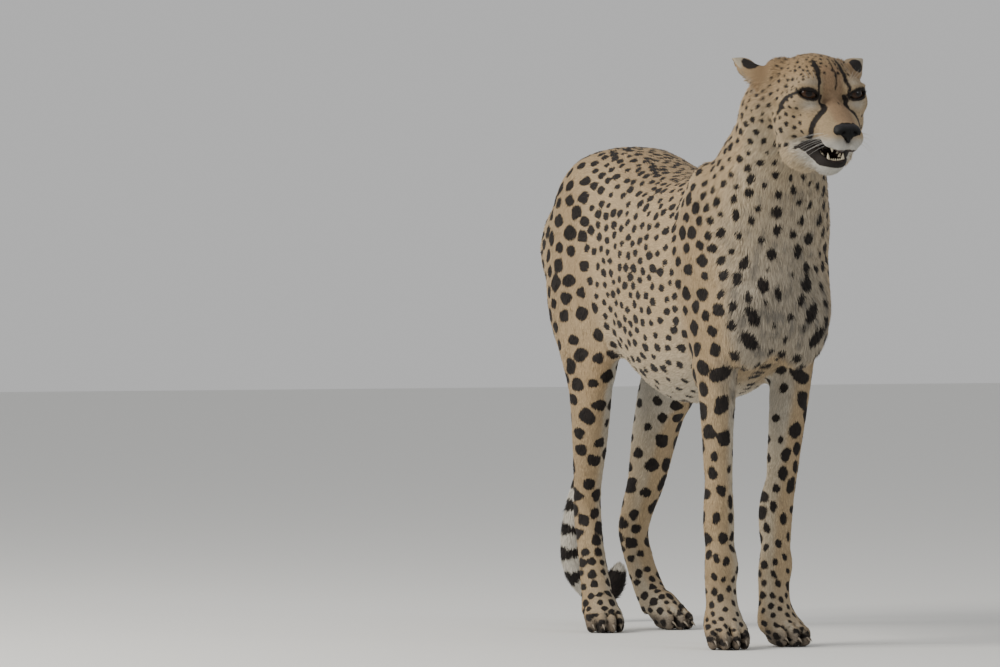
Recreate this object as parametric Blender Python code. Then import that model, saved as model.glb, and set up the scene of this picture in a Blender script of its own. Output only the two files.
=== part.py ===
"""A life-size cheetah standing still, its head turned a little to its left and its mouth just open.

The animal faces -Y, its left side is +X and +Z is up. The soles rest at Z = 0 and the origin is the
middle of the floor that it covers. The flesh is modelled whole, from lofts and ellipsoids that a
voxel remesh fuses, and is then parted at the joints with thin cuts. Eyes, ears, nose and claws are
pieces of their own.
"""

import math

import bmesh
import bpy
import numpy as np
from mathutils import Matrix, Vector

# Driving dimensions, in metres.
SHOULDER_HEIGHT = 0.715  # floor to the top of the shoulder blades
TRUNK_LENGTH = 0.80  # front of the chest to the back of the rump
CHEST_WIDTH = 0.226  # over the coat, at the widest rib
HEAD_UNIT = 0.001  # the head's sizes are in millimetres
EYE_RADIUS = 0.0165
PAW_WIDTH = 0.068

# How fine the work is.
VOXEL = 0.004
SMOOTHING_PASSES = 7
FLESH_TRIANGLES = 3200
HEAD_BACK_Y, HEAD_LOW_Z, PAW_TOP_Z = -0.44, 0.68, 0.06  # where the detail is finest
RING_SIDES = 28
STEPS_PER_SPAN = 5
CUT = 0.0006  # the width of a parting cut
GAP = 0.0003  # between pieces that touch

FRONT = -1  # the way that the animal faces along Y
LEFT, RIGHT = 1, -1
SIDE_NAMES = {LEFT: "left", RIGHT: "right"}


# ---------------------------------------------------------------- small tools


def clear_scene():
    for obj in list(bpy.data.objects):
        bpy.data.objects.remove(obj)


def link(name, mesh):
    obj = bpy.data.objects.new(name, mesh)
    bpy.context.scene.collection.objects.link(obj)
    return obj


def mesh_from(name, points, faces):
    mesh = bpy.data.meshes.new(name)
    mesh.from_pydata([tuple(p) for p in points], [], [tuple(f) for f in faces])
    mesh.update()
    return mesh


def guide(obj):
    """Keeps a cutter or a helper out of the finished object."""
    obj.hide_render = True
    obj.display_type = "WIRE"
    return obj


def evaluated_mesh(obj, name):
    """The object's mesh with its modifiers applied."""
    graph = bpy.context.evaluated_depsgraph_get()
    graph.update()
    return bpy.data.meshes.new_from_object(obj.evaluated_get(graph))


def apply_modifiers(obj):
    finished = evaluated_mesh(obj, obj.name)
    obj.modifiers.clear()
    obj.data = finished
    return obj


def boolean(obj, other, operation="DIFFERENCE"):
    cut = obj.modifiers.new(operation.title(), "BOOLEAN")
    cut.object = other
    cut.operation = operation
    cut.solver = "EXACT"
    return cut


def joined(name, objects):
    """One mesh object that holds all of these, which go away."""
    whole = bmesh.new()
    for obj in objects:
        whole.from_mesh(obj.data)
        bpy.data.objects.remove(obj)
    mesh = bpy.data.meshes.new(name)
    whole.to_mesh(mesh)
    whole.free()
    return link(name, mesh)


def smooth_through(stations, steps=STEPS_PER_SPAN):
    """Rows between the given rows, on a Catmull-Rom curve through them."""
    rows = np.asarray(stations, float)
    padded = np.vstack([2 * rows[0] - rows[1], rows, 2 * rows[-1] - rows[-2]])
    found = []
    for i in range(len(rows) - 1):
        a, b, c, d = padded[i : i + 4]
        for t in np.arange(steps) / steps:
            found.append(
                0.5
                * (
                    2 * b
                    + (c - a) * t
                    + (2 * a - 5 * b + 4 * c - d) * t**2
                    + (3 * b - a - 3 * c + d) * t**3
                )
            )
    found.append(rows[-1])
    return np.array(found)


def loft(name, centres, up_axes, side_axes, up, down, side, fullness=2.0, sides=RING_SIDES):
    """A closed skin over rings. Each ring is a superellipse with its own reach up, down and sideways."""
    turn = np.linspace(0, 2 * math.pi, sides, endpoint=False)
    power = 2 / np.broadcast_to(fullness, len(centres))[:, None]
    cosine = np.sign(np.cos(turn)) * np.abs(np.cos(turn)) ** power
    sine = np.sign(np.sin(turn)) * np.abs(np.sin(turn)) ** power
    reach = np.where(cosine > 0, up[:, None], down[:, None]) * cosine
    across = side[:, None] * sine
    rings = (
        centres[:, None, :]
        + reach[:, :, None] * up_axes[:, None, :]
        + across[:, :, None] * side_axes[:, None, :]
    )
    count = len(centres)
    points = [*rings.reshape(-1, 3), centres[0], centres[-1]]
    first_cap, last_cap = count * sides, count * sides + 1
    faces = []
    for i in range(count - 1):
        for j in range(sides):
            k = (j + 1) % sides
            a, b = i * sides, (i + 1) * sides
            faces.append((a + j, a + k, b + k, b + j))
    last = (count - 1) * sides
    for j in range(sides):
        k = (j + 1) % sides
        faces.append((first_cap, k, j))
        faces.append((last_cap, last + j, last + k))
    mesh = mesh_from(name, points, faces)
    outward(mesh)
    return link(name, mesh)


def outward(mesh):
    work = bmesh.new()
    work.from_mesh(mesh)
    bmesh.ops.recalc_face_normals(work, faces=work.faces)
    work.to_mesh(mesh)
    work.free()


def limb(name, stations, fullness=2.0, sides=RING_SIDES, steps=STEPS_PER_SPAN):
    """A loft along joints. A station is x, y, z, reach forward, reach back, reach sideways."""
    rows = smooth_through(stations, steps)
    centres = rows[:, :3]
    along = np.gradient(centres, axis=0)
    along /= np.linalg.norm(along, axis=1)[:, None]
    side_axes = np.array([1.0, 0, 0]) - along * along[:, :1]
    side_axes /= np.linalg.norm(side_axes, axis=1)[:, None]
    forward = np.cross(along, side_axes)
    forward *= np.where(forward[:, 1:2] * FRONT < 0, -1, 1)
    reach = (rows[:, 3], rows[:, 4], rows[:, 5])
    return loft(name, centres, forward, side_axes, *reach, fullness, sides)


def ellipsoid(name, centre, radii, pitch=0.0, roll=0.0, yaw=0.0, segments=32):
    """A sphere primitive stretched to three radii and turned, in degrees."""
    work = bmesh.new()
    bmesh.ops.create_uvsphere(work, u_segments=segments, v_segments=segments // 2, radius=1)
    turn = (
        Matrix.Rotation(math.radians(yaw), 4, "Z")
        @ Matrix.Rotation(math.radians(roll), 4, "Y")
        @ Matrix.Rotation(math.radians(pitch), 4, "X")
    )
    place = Matrix.Translation(centre) @ turn @ Matrix.Diagonal((*radii, 1))
    bmesh.ops.transform(work, matrix=place, verts=work.verts)
    mesh = bpy.data.meshes.new(name)
    work.to_mesh(mesh)
    work.free()
    return link(name, mesh)


def disc(name, centre, normal, radius):
    """A thin round blade for a parting cut."""
    work = bmesh.new()
    bmesh.ops.create_cone(
        work, cap_ends=True, segments=32, radius1=radius, radius2=radius, depth=CUT
    )
    turn = Vector(normal).to_track_quat("Z", "Y").to_matrix().to_4x4()
    bmesh.ops.transform(work, matrix=Matrix.Translation(centre) @ turn, verts=work.verts)
    mesh = bpy.data.meshes.new(name)
    work.to_mesh(mesh)
    work.free()
    return link(name, mesh)


def bowl(name, centre, radii, pitch=0.0):
    """A thin ellipsoidal shell, which parts a rounded muscle from all that surrounds it."""
    outer = ellipsoid(name, centre, radii, pitch, segments=14)
    inner = ellipsoid(name, centre, [r - CUT for r in radii], pitch, segments=14)
    work = bmesh.new()
    work.from_mesh(inner.data)
    bmesh.ops.reverse_faces(work, faces=work.faces)
    work.to_mesh(inner.data)
    work.free()
    return joined(name, [outer, inner])


def material(name, colour, roughness, metallic=0.0):
    made = bpy.data.materials.new(name)
    made.use_nodes = True
    shader = made.node_tree.nodes["Principled BSDF"]
    shader.inputs["Base Color"].default_value = (*colour, 1)
    shader.inputs["Roughness"].default_value = roughness
    shader.inputs["Metallic"].default_value = metallic
    return made


def finish(obj, name, finish_material):
    obj.name = name
    obj.data.name = name
    obj.data.materials.clear()
    obj.data.materials.append(finish_material)
    obj.data.shade_smooth()
    obj.data.set_sharp_from_angle(angle=math.radians(50))
    return obj


# ---------------------------------------------------------------- trunk, neck and tail

# Shares of the trunk's length from the chest, of the shoulder's height and of half the chest's width:
# place along, top, bottom, half width, height of the widest point, and how square the section is.
TRUNK_STATIONS = (
    (0.00, 0.735, 0.695, 0.06, 0.71, 2.0),
    (0.01, 0.790, 0.655, 0.30, 0.71, 2.0),
    (0.05, 0.880, 0.620, 0.62, 0.71, 2.0),
    (0.12, 0.955, 0.578, 0.82, 0.71, 2.1),
    (0.20, 0.985, 0.548, 0.92, 0.72, 2.2),
    (0.32, 0.976, 0.507, 1.00, 0.74, 2.4),
    (0.46, 0.976, 0.493, 0.98, 0.75, 2.5),
    (0.60, 1.002, 0.535, 0.92, 0.78, 2.5),
    (0.72, 1.028, 0.595, 0.90, 0.82, 2.6),
    (0.82, 1.032, 0.628, 0.93, 0.84, 2.8),
    (0.90, 1.000, 0.650, 0.87, 0.83, 2.6),
    (0.96, 0.930, 0.690, 0.64, 0.81, 2.2),
    (1.00, 0.860, 0.750, 0.22, 0.80, 2.0),
)
CHEST_FRONT_Y = -0.365

# x, y, z, reach forward, reach back, reach sideways, from the chest up to the skull.
NECK_STATIONS = (
    (0.000, -0.120, 0.470, 0.030, 0.030, 0.030),
    (0.000, -0.160, 0.505, 0.105, 0.110, 0.085),
    (0.000, -0.205, 0.545, 0.128, 0.134, 0.106),
    (0.000, -0.265, 0.615, 0.104, 0.128, 0.104),
    (-0.006, -0.322, 0.680, 0.076, 0.112, 0.086),
    (-0.012, -0.372, 0.737, 0.058, 0.090, 0.070),
    (-0.011, -0.412, 0.786, 0.050, 0.068, 0.077),
    (-0.006, -0.440, 0.798, 0.045, 0.062, 0.076),
    (0.000, -0.480, 0.800, 0.040, 0.050, 0.056),
)

# x, y, z, radius, from the root of the tail to its tip.
TAIL_STATIONS = (
    (0.000, 0.350, 0.668, 0.040),
    (0.000, 0.415, 0.646, 0.034),
    (0.004, 0.468, 0.585, 0.027),
    (0.014, 0.490, 0.485, 0.023),
    (0.020, 0.488, 0.370, 0.021),
    (0.014, 0.488, 0.270, 0.020),
    (-0.008, 0.490, 0.190, 0.020),
    (-0.016, 0.496, 0.130, 0.021),
    (-0.006, 0.502, 0.082, 0.021),
    (0.020, 0.503, 0.054, 0.020),
    (0.046, 0.500, 0.052, 0.019),
    (0.059, 0.497, 0.074, 0.015),
    (0.061, 0.496, 0.090, 0.007),
)


def trunk_form():
    rows = smooth_through(TRUNK_STATIONS)
    y = CHEST_FRONT_Y + rows[:, 0] * TRUNK_LENGTH
    top, bottom, widest = (rows[:, i] * SHOULDER_HEIGHT for i in (1, 2, 4))
    half = rows[:, 3] * CHEST_WIDTH / 2
    centres = np.stack([0 * y, y, widest], axis=1)
    upright = np.tile([0.0, 0, 1], (len(y), 1))
    across = np.tile([1.0, 0, 0], (len(y), 1))
    reach = (top - widest, widest - bottom, half)
    return loft("trunk_form", centres, upright, across, *reach, rows[:, 5])


def tail_form():
    rows = [(*row[:3], row[3], row[3], row[3]) for row in TAIL_STATIONS]
    return limb("tail_form", rows)


# Muscles that stand out under the coat, on each side: centre, radii, pitch, roll.
MUSCLES = (
    ("shoulder_blade", (0.056, -0.200, 0.612), (0.038, 0.068, 0.108), 24, 10),
    ("upper_arm", (0.062, -0.268, 0.500), (0.036, 0.070, 0.085), -18, 6),
    ("breast", (0.037, -0.312, 0.490), (0.043, 0.046, 0.080), 0, 0),
    ("haunch", (0.062, 0.292, 0.622), (0.048, 0.105, 0.095), 10, -4),
    ("buttock", (0.060, 0.388, 0.580), (0.044, 0.068, 0.078), 12, 0),
    ("flank_fold", (0.066, 0.185, 0.480), (0.030, 0.060, 0.075), 25, 0),
)


def muscle_forms():
    forms = []
    for name, (x, y, z), radii, pitch, roll in MUSCLES:
        for side in (LEFT, RIGHT):
            forms.append(ellipsoid(name, (side * x, y, z), radii, pitch, side * roll))
    return forms


# ---------------------------------------------------------------- legs

# Each row: x (outward), y, z, reach forward, reach back, reach sideways.
FORELEG_STATIONS = {
    RIGHT: (
        (0.064, -0.262, 0.500, 0.058, 0.068, 0.037),
        (0.066, -0.252, 0.430, 0.048, 0.056, 0.033),
        (0.065, -0.254, 0.365, 0.036, 0.042, 0.028),
        (0.066, -0.258, 0.290, 0.029, 0.031, 0.0245),
        (0.065, -0.262, 0.210, 0.024, 0.025, 0.0230),
        (0.065, -0.264, 0.140, 0.024, 0.026, 0.0250),
        (0.065, -0.266, 0.105, 0.024, 0.026, 0.0255),
        (0.065, -0.272, 0.065, 0.023, 0.022, 0.0245),
        (0.066, -0.280, 0.032, 0.024, 0.022, 0.0255),
    ),
    LEFT: (
        (0.064, -0.242, 0.500, 0.058, 0.068, 0.037),
        (0.067, -0.217, 0.430, 0.048, 0.056, 0.035),
        (0.065, -0.212, 0.365, 0.037, 0.042, 0.031),
        (0.058, -0.210, 0.290, 0.029, 0.031, 0.0275),
        (0.049, -0.212, 0.210, 0.024, 0.025, 0.0245),
        (0.042, -0.215, 0.140, 0.024, 0.026, 0.0250),
        (0.038, -0.219, 0.105, 0.024, 0.026, 0.0255),
        (0.036, -0.226, 0.065, 0.023, 0.022, 0.0245),
        (0.037, -0.236, 0.032, 0.024, 0.022, 0.0255),
    ),
}
HINDLEG_STATIONS = {
    RIGHT: (
        (0.060, 0.300, 0.600, 0.100, 0.112, 0.048),
        (0.072, 0.292, 0.520, 0.096, 0.110, 0.050),
        (0.078, 0.260, 0.440, 0.074, 0.078, 0.042),
        (0.079, 0.245, 0.370, 0.050, 0.054, 0.034),
        (0.074, 0.262, 0.290, 0.036, 0.036, 0.029),
        (0.067, 0.290, 0.220, 0.026, 0.026, 0.0240),
        (0.063, 0.300, 0.175, 0.025, 0.030, 0.0235),
        (0.064, 0.283, 0.125, 0.023, 0.024, 0.0230),
        (0.067, 0.256, 0.075, 0.022, 0.022, 0.0240),
        (0.069, 0.236, 0.032, 0.024, 0.022, 0.0250),
    ),
    LEFT: (
        (0.060, 0.300, 0.600, 0.100, 0.112, 0.048),
        (0.074, 0.300, 0.520, 0.094, 0.106, 0.050),
        (0.078, 0.292, 0.440, 0.100, 0.092, 0.044),
        (0.071, 0.300, 0.385, 0.080, 0.074, 0.041),
        (0.064, 0.318, 0.340, 0.058, 0.058, 0.039),
        (0.054, 0.325, 0.290, 0.046, 0.044, 0.0365),
        (0.043, 0.326, 0.230, 0.036, 0.034, 0.0315),
        (0.033, 0.340, 0.180, 0.029, 0.031, 0.0270),
        (0.030, 0.348, 0.145, 0.026, 0.031, 0.0255),
        (0.035, 0.338, 0.105, 0.024, 0.024, 0.0240),
        (0.042, 0.322, 0.068, 0.022, 0.021, 0.0240),
        (0.049, 0.296, 0.032, 0.024, 0.022, 0.0250),
    ),
}
# Where each paw stands and the way its toes turn outward, in degrees: x (outward), y, turn.
PAWS = {
    ("fore", RIGHT): (0.069, -0.297, 8),
    ("fore", LEFT): (0.042, -0.246, 20),
    ("hind", RIGHT): (0.070, 0.216, 8),
    ("hind", LEFT): (0.056, 0.266, 26),
}
# A toe: across and forward as shares of the paw's width, and the fall of its knuckle.
TOES = ((-0.335, 0.36), (-0.125, 0.55), (0.125, 0.55), (0.335, 0.36))
HIND_PAW_SCALE = 0.92


def outward_rows(rows, side):
    return [(side * x, *rest) for x, *rest in rows]


def paw_frame(kind, side):
    x, y, turn = PAWS[kind, side]
    return Matrix.Translation((side * x, y, 0)) @ Matrix.Rotation(
        math.radians(side * turn), 4, "Z"
    )


def paw_size(kind):
    return PAW_WIDTH * (HIND_PAW_SCALE if kind == "hind" else 1.0)


def paw_forms(kind, side):
    """The palm, the four toes and the pads under them, in metres from the paw's own middle."""
    width = paw_size(kind)
    frame = paw_frame(kind, side)
    turn = math.degrees(frame.to_euler().z)
    pieces = [
        ("palm", (0, 0.05, 0.42), (0.43, 0.50, 0.34), 12),
        ("instep", (0, 0.22, 0.62), (0.36, 0.36, 0.34), 20),
        ("heel_pad", (0, 0.02, 0.16), (0.34, 0.34, 0.18), 0),
    ]
    for across, forward in TOES:
        pieces.append(("toe", (across, -forward + 0.17, 0.30), (0.165, 0.33, 0.235), 14))
        pieces.append(("toe_pad", (across, -forward + 0.06, 0.12), (0.13, 0.20, 0.14), 0))
    forms = []
    for name, centre, radii, pitch in pieces:
        place = frame @ (Vector(centre) * width)
        forms.append(ellipsoid(name, place, [r * width for r in radii], pitch, 0, turn, 24))
    return forms


def claw(frame, width, across, forward):
    """A short horn that curves down in front of a toe: rings along an arc that shrink to a point."""
    length, thick = 0.21 * width, 0.055 * width
    share = np.linspace(0, 1, 4)
    bend = share * math.radians(60)
    y = -(forward + 0.10) * width - length * np.sin(bend)
    z = 0.30 * width - length * (1 - np.cos(bend)) * 1.15
    local = np.stack([np.full(4, across * 1.02 * width), y, z], axis=1)
    radius = thick * (1 - 0.9 * share)
    rows = [(*(frame @ Vector(p)), r * 1.5, r * 1.5, r) for p, r in zip(local, radius)]
    return limb("claw", rows, sides=6, steps=1)


def leg_forms():
    forms = []
    for side in (LEFT, RIGHT):
        forms.append(limb("foreleg_form", outward_rows(FORELEG_STATIONS[side], side)))
        forms.append(limb("hindleg_form", outward_rows(HINDLEG_STATIONS[side], side)))
        forms += paw_forms("fore", side) + paw_forms("hind", side)
    return forms


# ---------------------------------------------------------------- head

# The head's own frame has its origin midway between the eyes, in millimetres.
HEAD_PLACE = (0.004, -0.530, 0.8135)
HEAD_TURN = 2.5  # degrees to its left
EYE_ACROSS, EYE_BACK, EYE_UP = 34.5, 7.0, 0.0
GAZE_OUT = 16  # degrees that each eye looks away from straight ahead

# name, centre, radii, pitch, roll, and whether there is one on each side.
HEAD_FORMS = (
    ("braincase", (0, 60, 15), (56, 68, 46), 8, 0, False),
    ("ear_root", (42, 88, 30), (27, 30, 25), 0, 0, True),
    ("forehead", (0, 46, 10), (42, 40, 38), 0, 0, False),
    ("nape", (0, 98, -4), (58, 52, 52), 0, 0, False),
    ("brow", (30, 9, 17), (19, 17, 11), 20, 14, True),
    ("cheekbone", (43, 30, -14), (24, 38, 24), -8, -8, True),
    ("cheek", (38, 46, -40), (31, 40, 34), 0, 0, True),
    ("jaw_angle", (26, 62, -62), (32, 42, 34), 0, 0, True),
    ("bridge", (0, -19, -34), (17, 41, 15), 44, 0, False),
    ("muzzle", (0, -16, -46), (33, 40, 27), 18, 0, False),
    ("under_eye", (28, 7, -27), (19, 25, 17), 10, 0, True),
    ("whisker_pad", (15, -40, -64), (16, 22, 17), 8, 0, True),
    ("nose_tip", (0, -50, -52), (17, 13, 13), 0, 0, False),
    ("chin", (0, 0, -103), (18, 24, 14), -14, 0, False),
    ("lower_lip", (10, 4, -97), (13, 27, 11), -12, 0, True),
    ("jaw_body", (17, 36, -92), (21, 38, 21), -18, 0, True),
    ("throat", (0, 58, -70), (36, 48, 36), 0, 0, False),
    ("jaw_ruff", (24, 50, -84), (30, 38, 26), -10, 0, True),
)
MOUTH_CORNER = (24, -71)  # back and up
MOUTH_FRONT = -78
LIP_LINE = -86  # the upper lip, carried on to the mouth's front
MOUTH_OPEN = 25  # the height of the wedge there
CANINE = (13, -12)  # across and back
CANINE_RADIUS, CANINE_BASE, CANINE_TIP = 3.4, -100, -84
MOUTH_SIDE = 62


def head_matrix():
    scale = Matrix.Scale(HEAD_UNIT, 4)
    turn = Matrix.Rotation(math.radians(HEAD_TURN), 4, "Z")
    return Matrix.Translation(HEAD_PLACE) @ turn @ scale


def in_head(point):
    return head_matrix() @ Vector(point)


def head_ellipsoid(name, centre, radii, pitch=0.0, roll=0.0, yaw=0.0, segments=32):
    sizes = [r * HEAD_UNIT for r in radii]
    return ellipsoid(name, in_head(centre), sizes, pitch, roll, yaw + HEAD_TURN, segments)


def head_forms():
    forms = []
    for name, (x, y, z), radii, pitch, roll, paired in HEAD_FORMS:
        for side in (LEFT, RIGHT) if paired else (LEFT,):
            centre = (side * x, y, z)
            forms.append(head_ellipsoid(name, centre, radii, pitch, side * roll))
    return forms


def eye_centre(side):
    return in_head((side * EYE_ACROSS, EYE_BACK, EYE_UP))


def eye_ball(side, spare=0.0):
    radius = EYE_RADIUS + spare
    return ellipsoid("eye", eye_centre(side), (radius,) * 3, segments=16)


def lid_opening(side):
    """The almond between the lids: an ellipsoid on the front of the eye, its outer end higher."""
    turn = math.radians(side * GAZE_OUT)
    reach = EYE_RADIUS / HEAD_UNIT
    x = side * EYE_ACROSS + reach * math.sin(turn)
    y = EYE_BACK - reach * math.cos(turn)
    centre = (x, y, EYE_UP - 0.5)
    return head_ellipsoid("lid_opening", centre, (14, 14, 8), 0, -side * 14, side * GAZE_OUT, 16)


def mouth_cutter():
    """The open mouth: a wedge from the corners to the front, then a thin cut back to the throat."""
    back, height = MOUTH_CORNER
    half_cut = CUT / HEAD_UNIT / 2
    upper = [(MOUTH_FRONT, LIP_LINE), (back, height + half_cut), (140, height + half_cut - 40)]
    lower = [(140, height - half_cut - 40), (back, height - half_cut), (MOUTH_FRONT, LIP_LINE - MOUTH_OPEN)]
    outline = upper + lower
    points = [in_head((side * MOUTH_SIDE, y, z)) for side in (LEFT, RIGHT) for y, z in outline]
    count = len(outline)
    faces = [tuple(range(count)), tuple(reversed(range(count, 2 * count)))]
    faces += [(i, i + count, (i + 1) % count + count, (i + 1) % count) for i in range(count)]
    mesh = mesh_from("mouth_cutter", points, faces)
    outward(mesh)
    return guide(link("mouth_cutter", mesh))


EAR_LENGTH, EAR_HALF_WIDTH, EAR_CUP, EAR_WALL = 70, 23, 13, 5.0
EAR_ROOT = (50, 88, 24)
EAR_AXIS = (0.755, 0.50, 0.37)  # the way that it stands from the head
EAR_OPENING = (0.35, 0.70, -0.55)  # the way that its cup faces, for the ears are laid back


def ear_form(side):
    """A rounded cup: rows from root to tip, each an arc that deepens away from the edges."""
    along = np.linspace(0, 1, 6)
    across = np.linspace(-1, 1, 7)
    half = EAR_HALF_WIDTH * np.sqrt(np.clip(1 - along**2.6, 0.02, 1)) * (0.80 + 0.20 * along)
    u, v = np.meshgrid(across, along)
    x = u * half[:, None]
    z = v * EAR_LENGTH * (1 - 0.10 * u**2)
    y = EAR_CUP * (1 - u**2) * (1 - 0.55 * v)
    local = np.stack([x, y, z], axis=-1).reshape(-1, 3)
    axis = Vector((side * EAR_AXIS[0], *EAR_AXIS[1:])).normalized()
    back = -Vector((side * EAR_OPENING[0], *EAR_OPENING[1:]))
    back = (back - axis * back.dot(axis)).normalized()
    turn = Matrix((back.cross(axis), back, axis)).transposed().to_4x4()
    root = Matrix.Translation((side * EAR_ROOT[0], EAR_ROOT[1], EAR_ROOT[2]))
    points = [head_matrix() @ root @ turn @ Vector(p) for p in local]
    columns = len(across)
    faces = []
    for i in range(len(along) - 1):
        for j in range(columns - 1):
            a = i * columns + j
            faces.append((a, a + 1, a + columns + 1, a + columns))
    ear = link("ear", mesh_from("ear", points, faces))
    wall = ear.modifiers.new("Wall", "SOLIDIFY")
    wall.thickness = EAR_WALL * HEAD_UNIT
    wall.offset = 0
    return apply_modifiers(ear)


def nose_form():
    """The nose leather, a rounded block on the tip of the muzzle."""
    return head_ellipsoid("nose", (0, -53, -53), (20, 12, 12), 10, 0, 0, 16)


# ---------------------------------------------------------------- fusing and parting


def fused_flesh():
    """Every form of flesh as one smooth closed surface, its soles cut flat at the floor."""
    forms = [trunk_form(), limb("neck_form", NECK_STATIONS), tail_form()]
    forms += muscle_forms() + leg_forms() + head_forms()
    flesh = joined("flesh", forms)
    remesh = flesh.modifiers.new("Fuse", "REMESH")
    remesh.mode = "VOXEL"
    remesh.voxel_size = VOXEL
    smooth = flesh.modifiers.new("Soften", "SMOOTH")
    smooth.factor = 0.5
    smooth.iterations = SMOOTHING_PASSES
    apply_modifiers(flesh)
    thin_out(flesh, FLESH_TRIANGLES)
    flat_soles(flesh)
    return flesh


def thin_out(obj, triangles):
    """Fewer triangles, most of them kept for the head and the paws."""
    count = sum(len(face.vertices) - 2 for face in obj.data.polygons)
    plain = obj.vertex_groups.new(name="plain")
    for vert in obj.data.vertices:
        detailed = vert.co.y < HEAD_BACK_Y and vert.co.z > HEAD_LOW_Z or vert.co.z < PAW_TOP_Z
        plain.add([vert.index], 0.90 if detailed else 1.0, "REPLACE")
    fewer = obj.modifiers.new("Thin", "DECIMATE")
    fewer.ratio = triangles / count
    fewer.vertex_group = "plain"
    fewer.use_collapse_triangulate = True
    apply_modifiers(obj)
    obj.vertex_groups.clear()


def flat_soles(obj):
    work = bmesh.new()
    work.from_mesh(obj.data)
    everything = work.verts[:] + work.edges[:] + work.faces[:]
    bmesh.ops.bisect_plane(work, geom=everything, plane_co=(0, 0, 0), plane_no=(0, 0, -1), clear_outer=True)
    rims = [edge for edge in work.edges if edge.is_boundary]
    bmesh.ops.holes_fill(work, edges=rims)
    bmesh.ops.triangulate(work, faces=work.faces)
    work.to_mesh(obj.data)
    work.free()


def leg_point(rows, side, height):
    """The middle of a leg at a height, from its stations."""
    path = smooth_through(outward_rows(rows, side))
    order = np.argsort(path[:, 2])
    return [float(np.interp(height, path[order, 2], path[order, i])) for i in range(3)]


# Across and up; a bowl follows its leg along Y.
SHOULDER_BOWL = (0.132, 0.458), (0.116, 0.122, 0.162)
THIGH_BOWL = (0.132, 0.505), (0.125, 0.185, 0.190)
FOREPAW_CUT, HOCK_CUT, HINDPAW_CUT = 0.092, 0.185, 0.062


def parting_blades():
    blades = [
        disc("neck_base", (0, -0.302, 0.635), (0, -0.80, 0.60), 0.20),
        disc("neck_top", (0.006, -0.435, 0.775), (0, -0.90, 0.43), 0.13),
        disc("tail_root", (-0.004, 0.477, 0.555), (0, 0.20, -0.97), 0.046),
        disc("tail_upper", (0.018, 0.489, 0.400), (0, 0, -1), 0.036),
        disc("tail_lower", (0.003, 0.489, 0.230), (0, 0, -1), 0.040),
    ]
    for side in (LEFT, RIGHT):
        fore, hind = FORELEG_STATIONS[side], HINDLEG_STATIONS[side]
        for rows, (x, z), radii in ((fore, *SHOULDER_BOWL), (hind, *THIGH_BOWL)):
            y = leg_point(rows, side, z)[1]
            fall = leg_point(rows, side, z - 0.10)[1] - y
            lean = math.degrees(math.atan2(fall, 0.10))
            blades.append(bowl("muscle_bowl", (side * x, y, z), radii, lean))
        cuts = (
            (fore, FOREPAW_CUT, 0.045, (0, 0, -1)),
            (hind, HOCK_CUT, 0.048, (0, -0.25, -1)),
            (hind, HINDPAW_CUT, 0.045, (0, -0.25, -1)),
        )
        for rows, height, radius, normal in cuts:
            blades.append(disc("leg_cut", leg_point(rows, side, height), normal, radius))
    return guide(joined("parting_blades", blades))


def part_hearts():
    """A point in the middle of each part, by which its piece is known after the parting."""
    hearts = {
        "trunk": (0, 0.02, 0.56),
        "neck": (0.004, -0.340, 0.70),
        "head": (0.014, -0.498, 0.78),
        "tail_root": (0.010, 0.482, 0.48),
        "tail_middle": (0.012, 0.488, 0.315),
        "tail_end": (0.02, 0.498, 0.13),
    }
    for side in (LEFT, RIGHT):
        name = SIDE_NAMES[side]
        fore, hind = FORELEG_STATIONS[side], HINDLEG_STATIONS[side]
        hearts[f"upper_arm_{name}"] = leg_point(fore, side, 0.42)
        hearts[f"forearm_{name}"] = leg_point(fore, side, 0.22)
        hearts[f"forepaw_{name}"] = leg_point(fore, side, 0.04)
        hearts[f"thigh_{name}"] = leg_point(hind, side, 0.47)
        hearts[f"shank_{name}"] = leg_point(hind, side, 0.28)
        hearts[f"hind_foot_{name}"] = leg_point(hind, side, 0.12)
        hearts[f"hindpaw_{name}"] = leg_point(hind, side, 0.035)
    return hearts


def separate_pieces(obj):
    """Each loose part of the mesh as (middle, object)."""
    work = bmesh.new()
    work.from_mesh(obj.data)
    unseen = set(work.faces)
    pieces = []
    while unseen:
        island, todo = [], [unseen.pop()]
        while todo:
            face = todo.pop()
            island.append(face)
            for edge in face.edges:
                for other in edge.link_faces:
                    if other in unseen:
                        unseen.remove(other)
                        todo.append(other)
        order = {v: i for i, v in enumerate({v for f in island for v in f.verts})}
        points = [v.co.copy() for v in order]
        faces = [[order[v] for v in f.verts] for f in island]
        low = Vector(map(min, *points))
        high = Vector(map(max, *points))
        pieces.append(((low + high) / 2, link("piece", mesh_from("piece", points, faces))))
    work.free()
    return pieces


def part_flesh(flesh):
    boolean(flesh, parting_blades())
    apply_modifiers(flesh)
    pieces = separate_pieces(flesh)
    hearts = part_hearts()
    named = {}
    for name, heart in hearts.items():
        middle, piece = min(pieces, key=lambda found: (found[0] - Vector(heart)).length)
        pieces.remove((middle, piece))
        named[name] = piece
    for _, crumb in pieces:
        bpy.data.objects.remove(crumb)
    bpy.data.objects.remove(flesh)
    return named


def inflated(obj, spare):
    """A cutter that stands off the object's surface by spare."""
    mesh = obj.data.copy()
    work = bmesh.new()
    work.from_mesh(mesh)
    work.normal_update()
    for vert in work.verts:
        vert.co += vert.normal * spare
    work.to_mesh(mesh)
    work.free()
    return guide(link("cutter", mesh))


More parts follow.
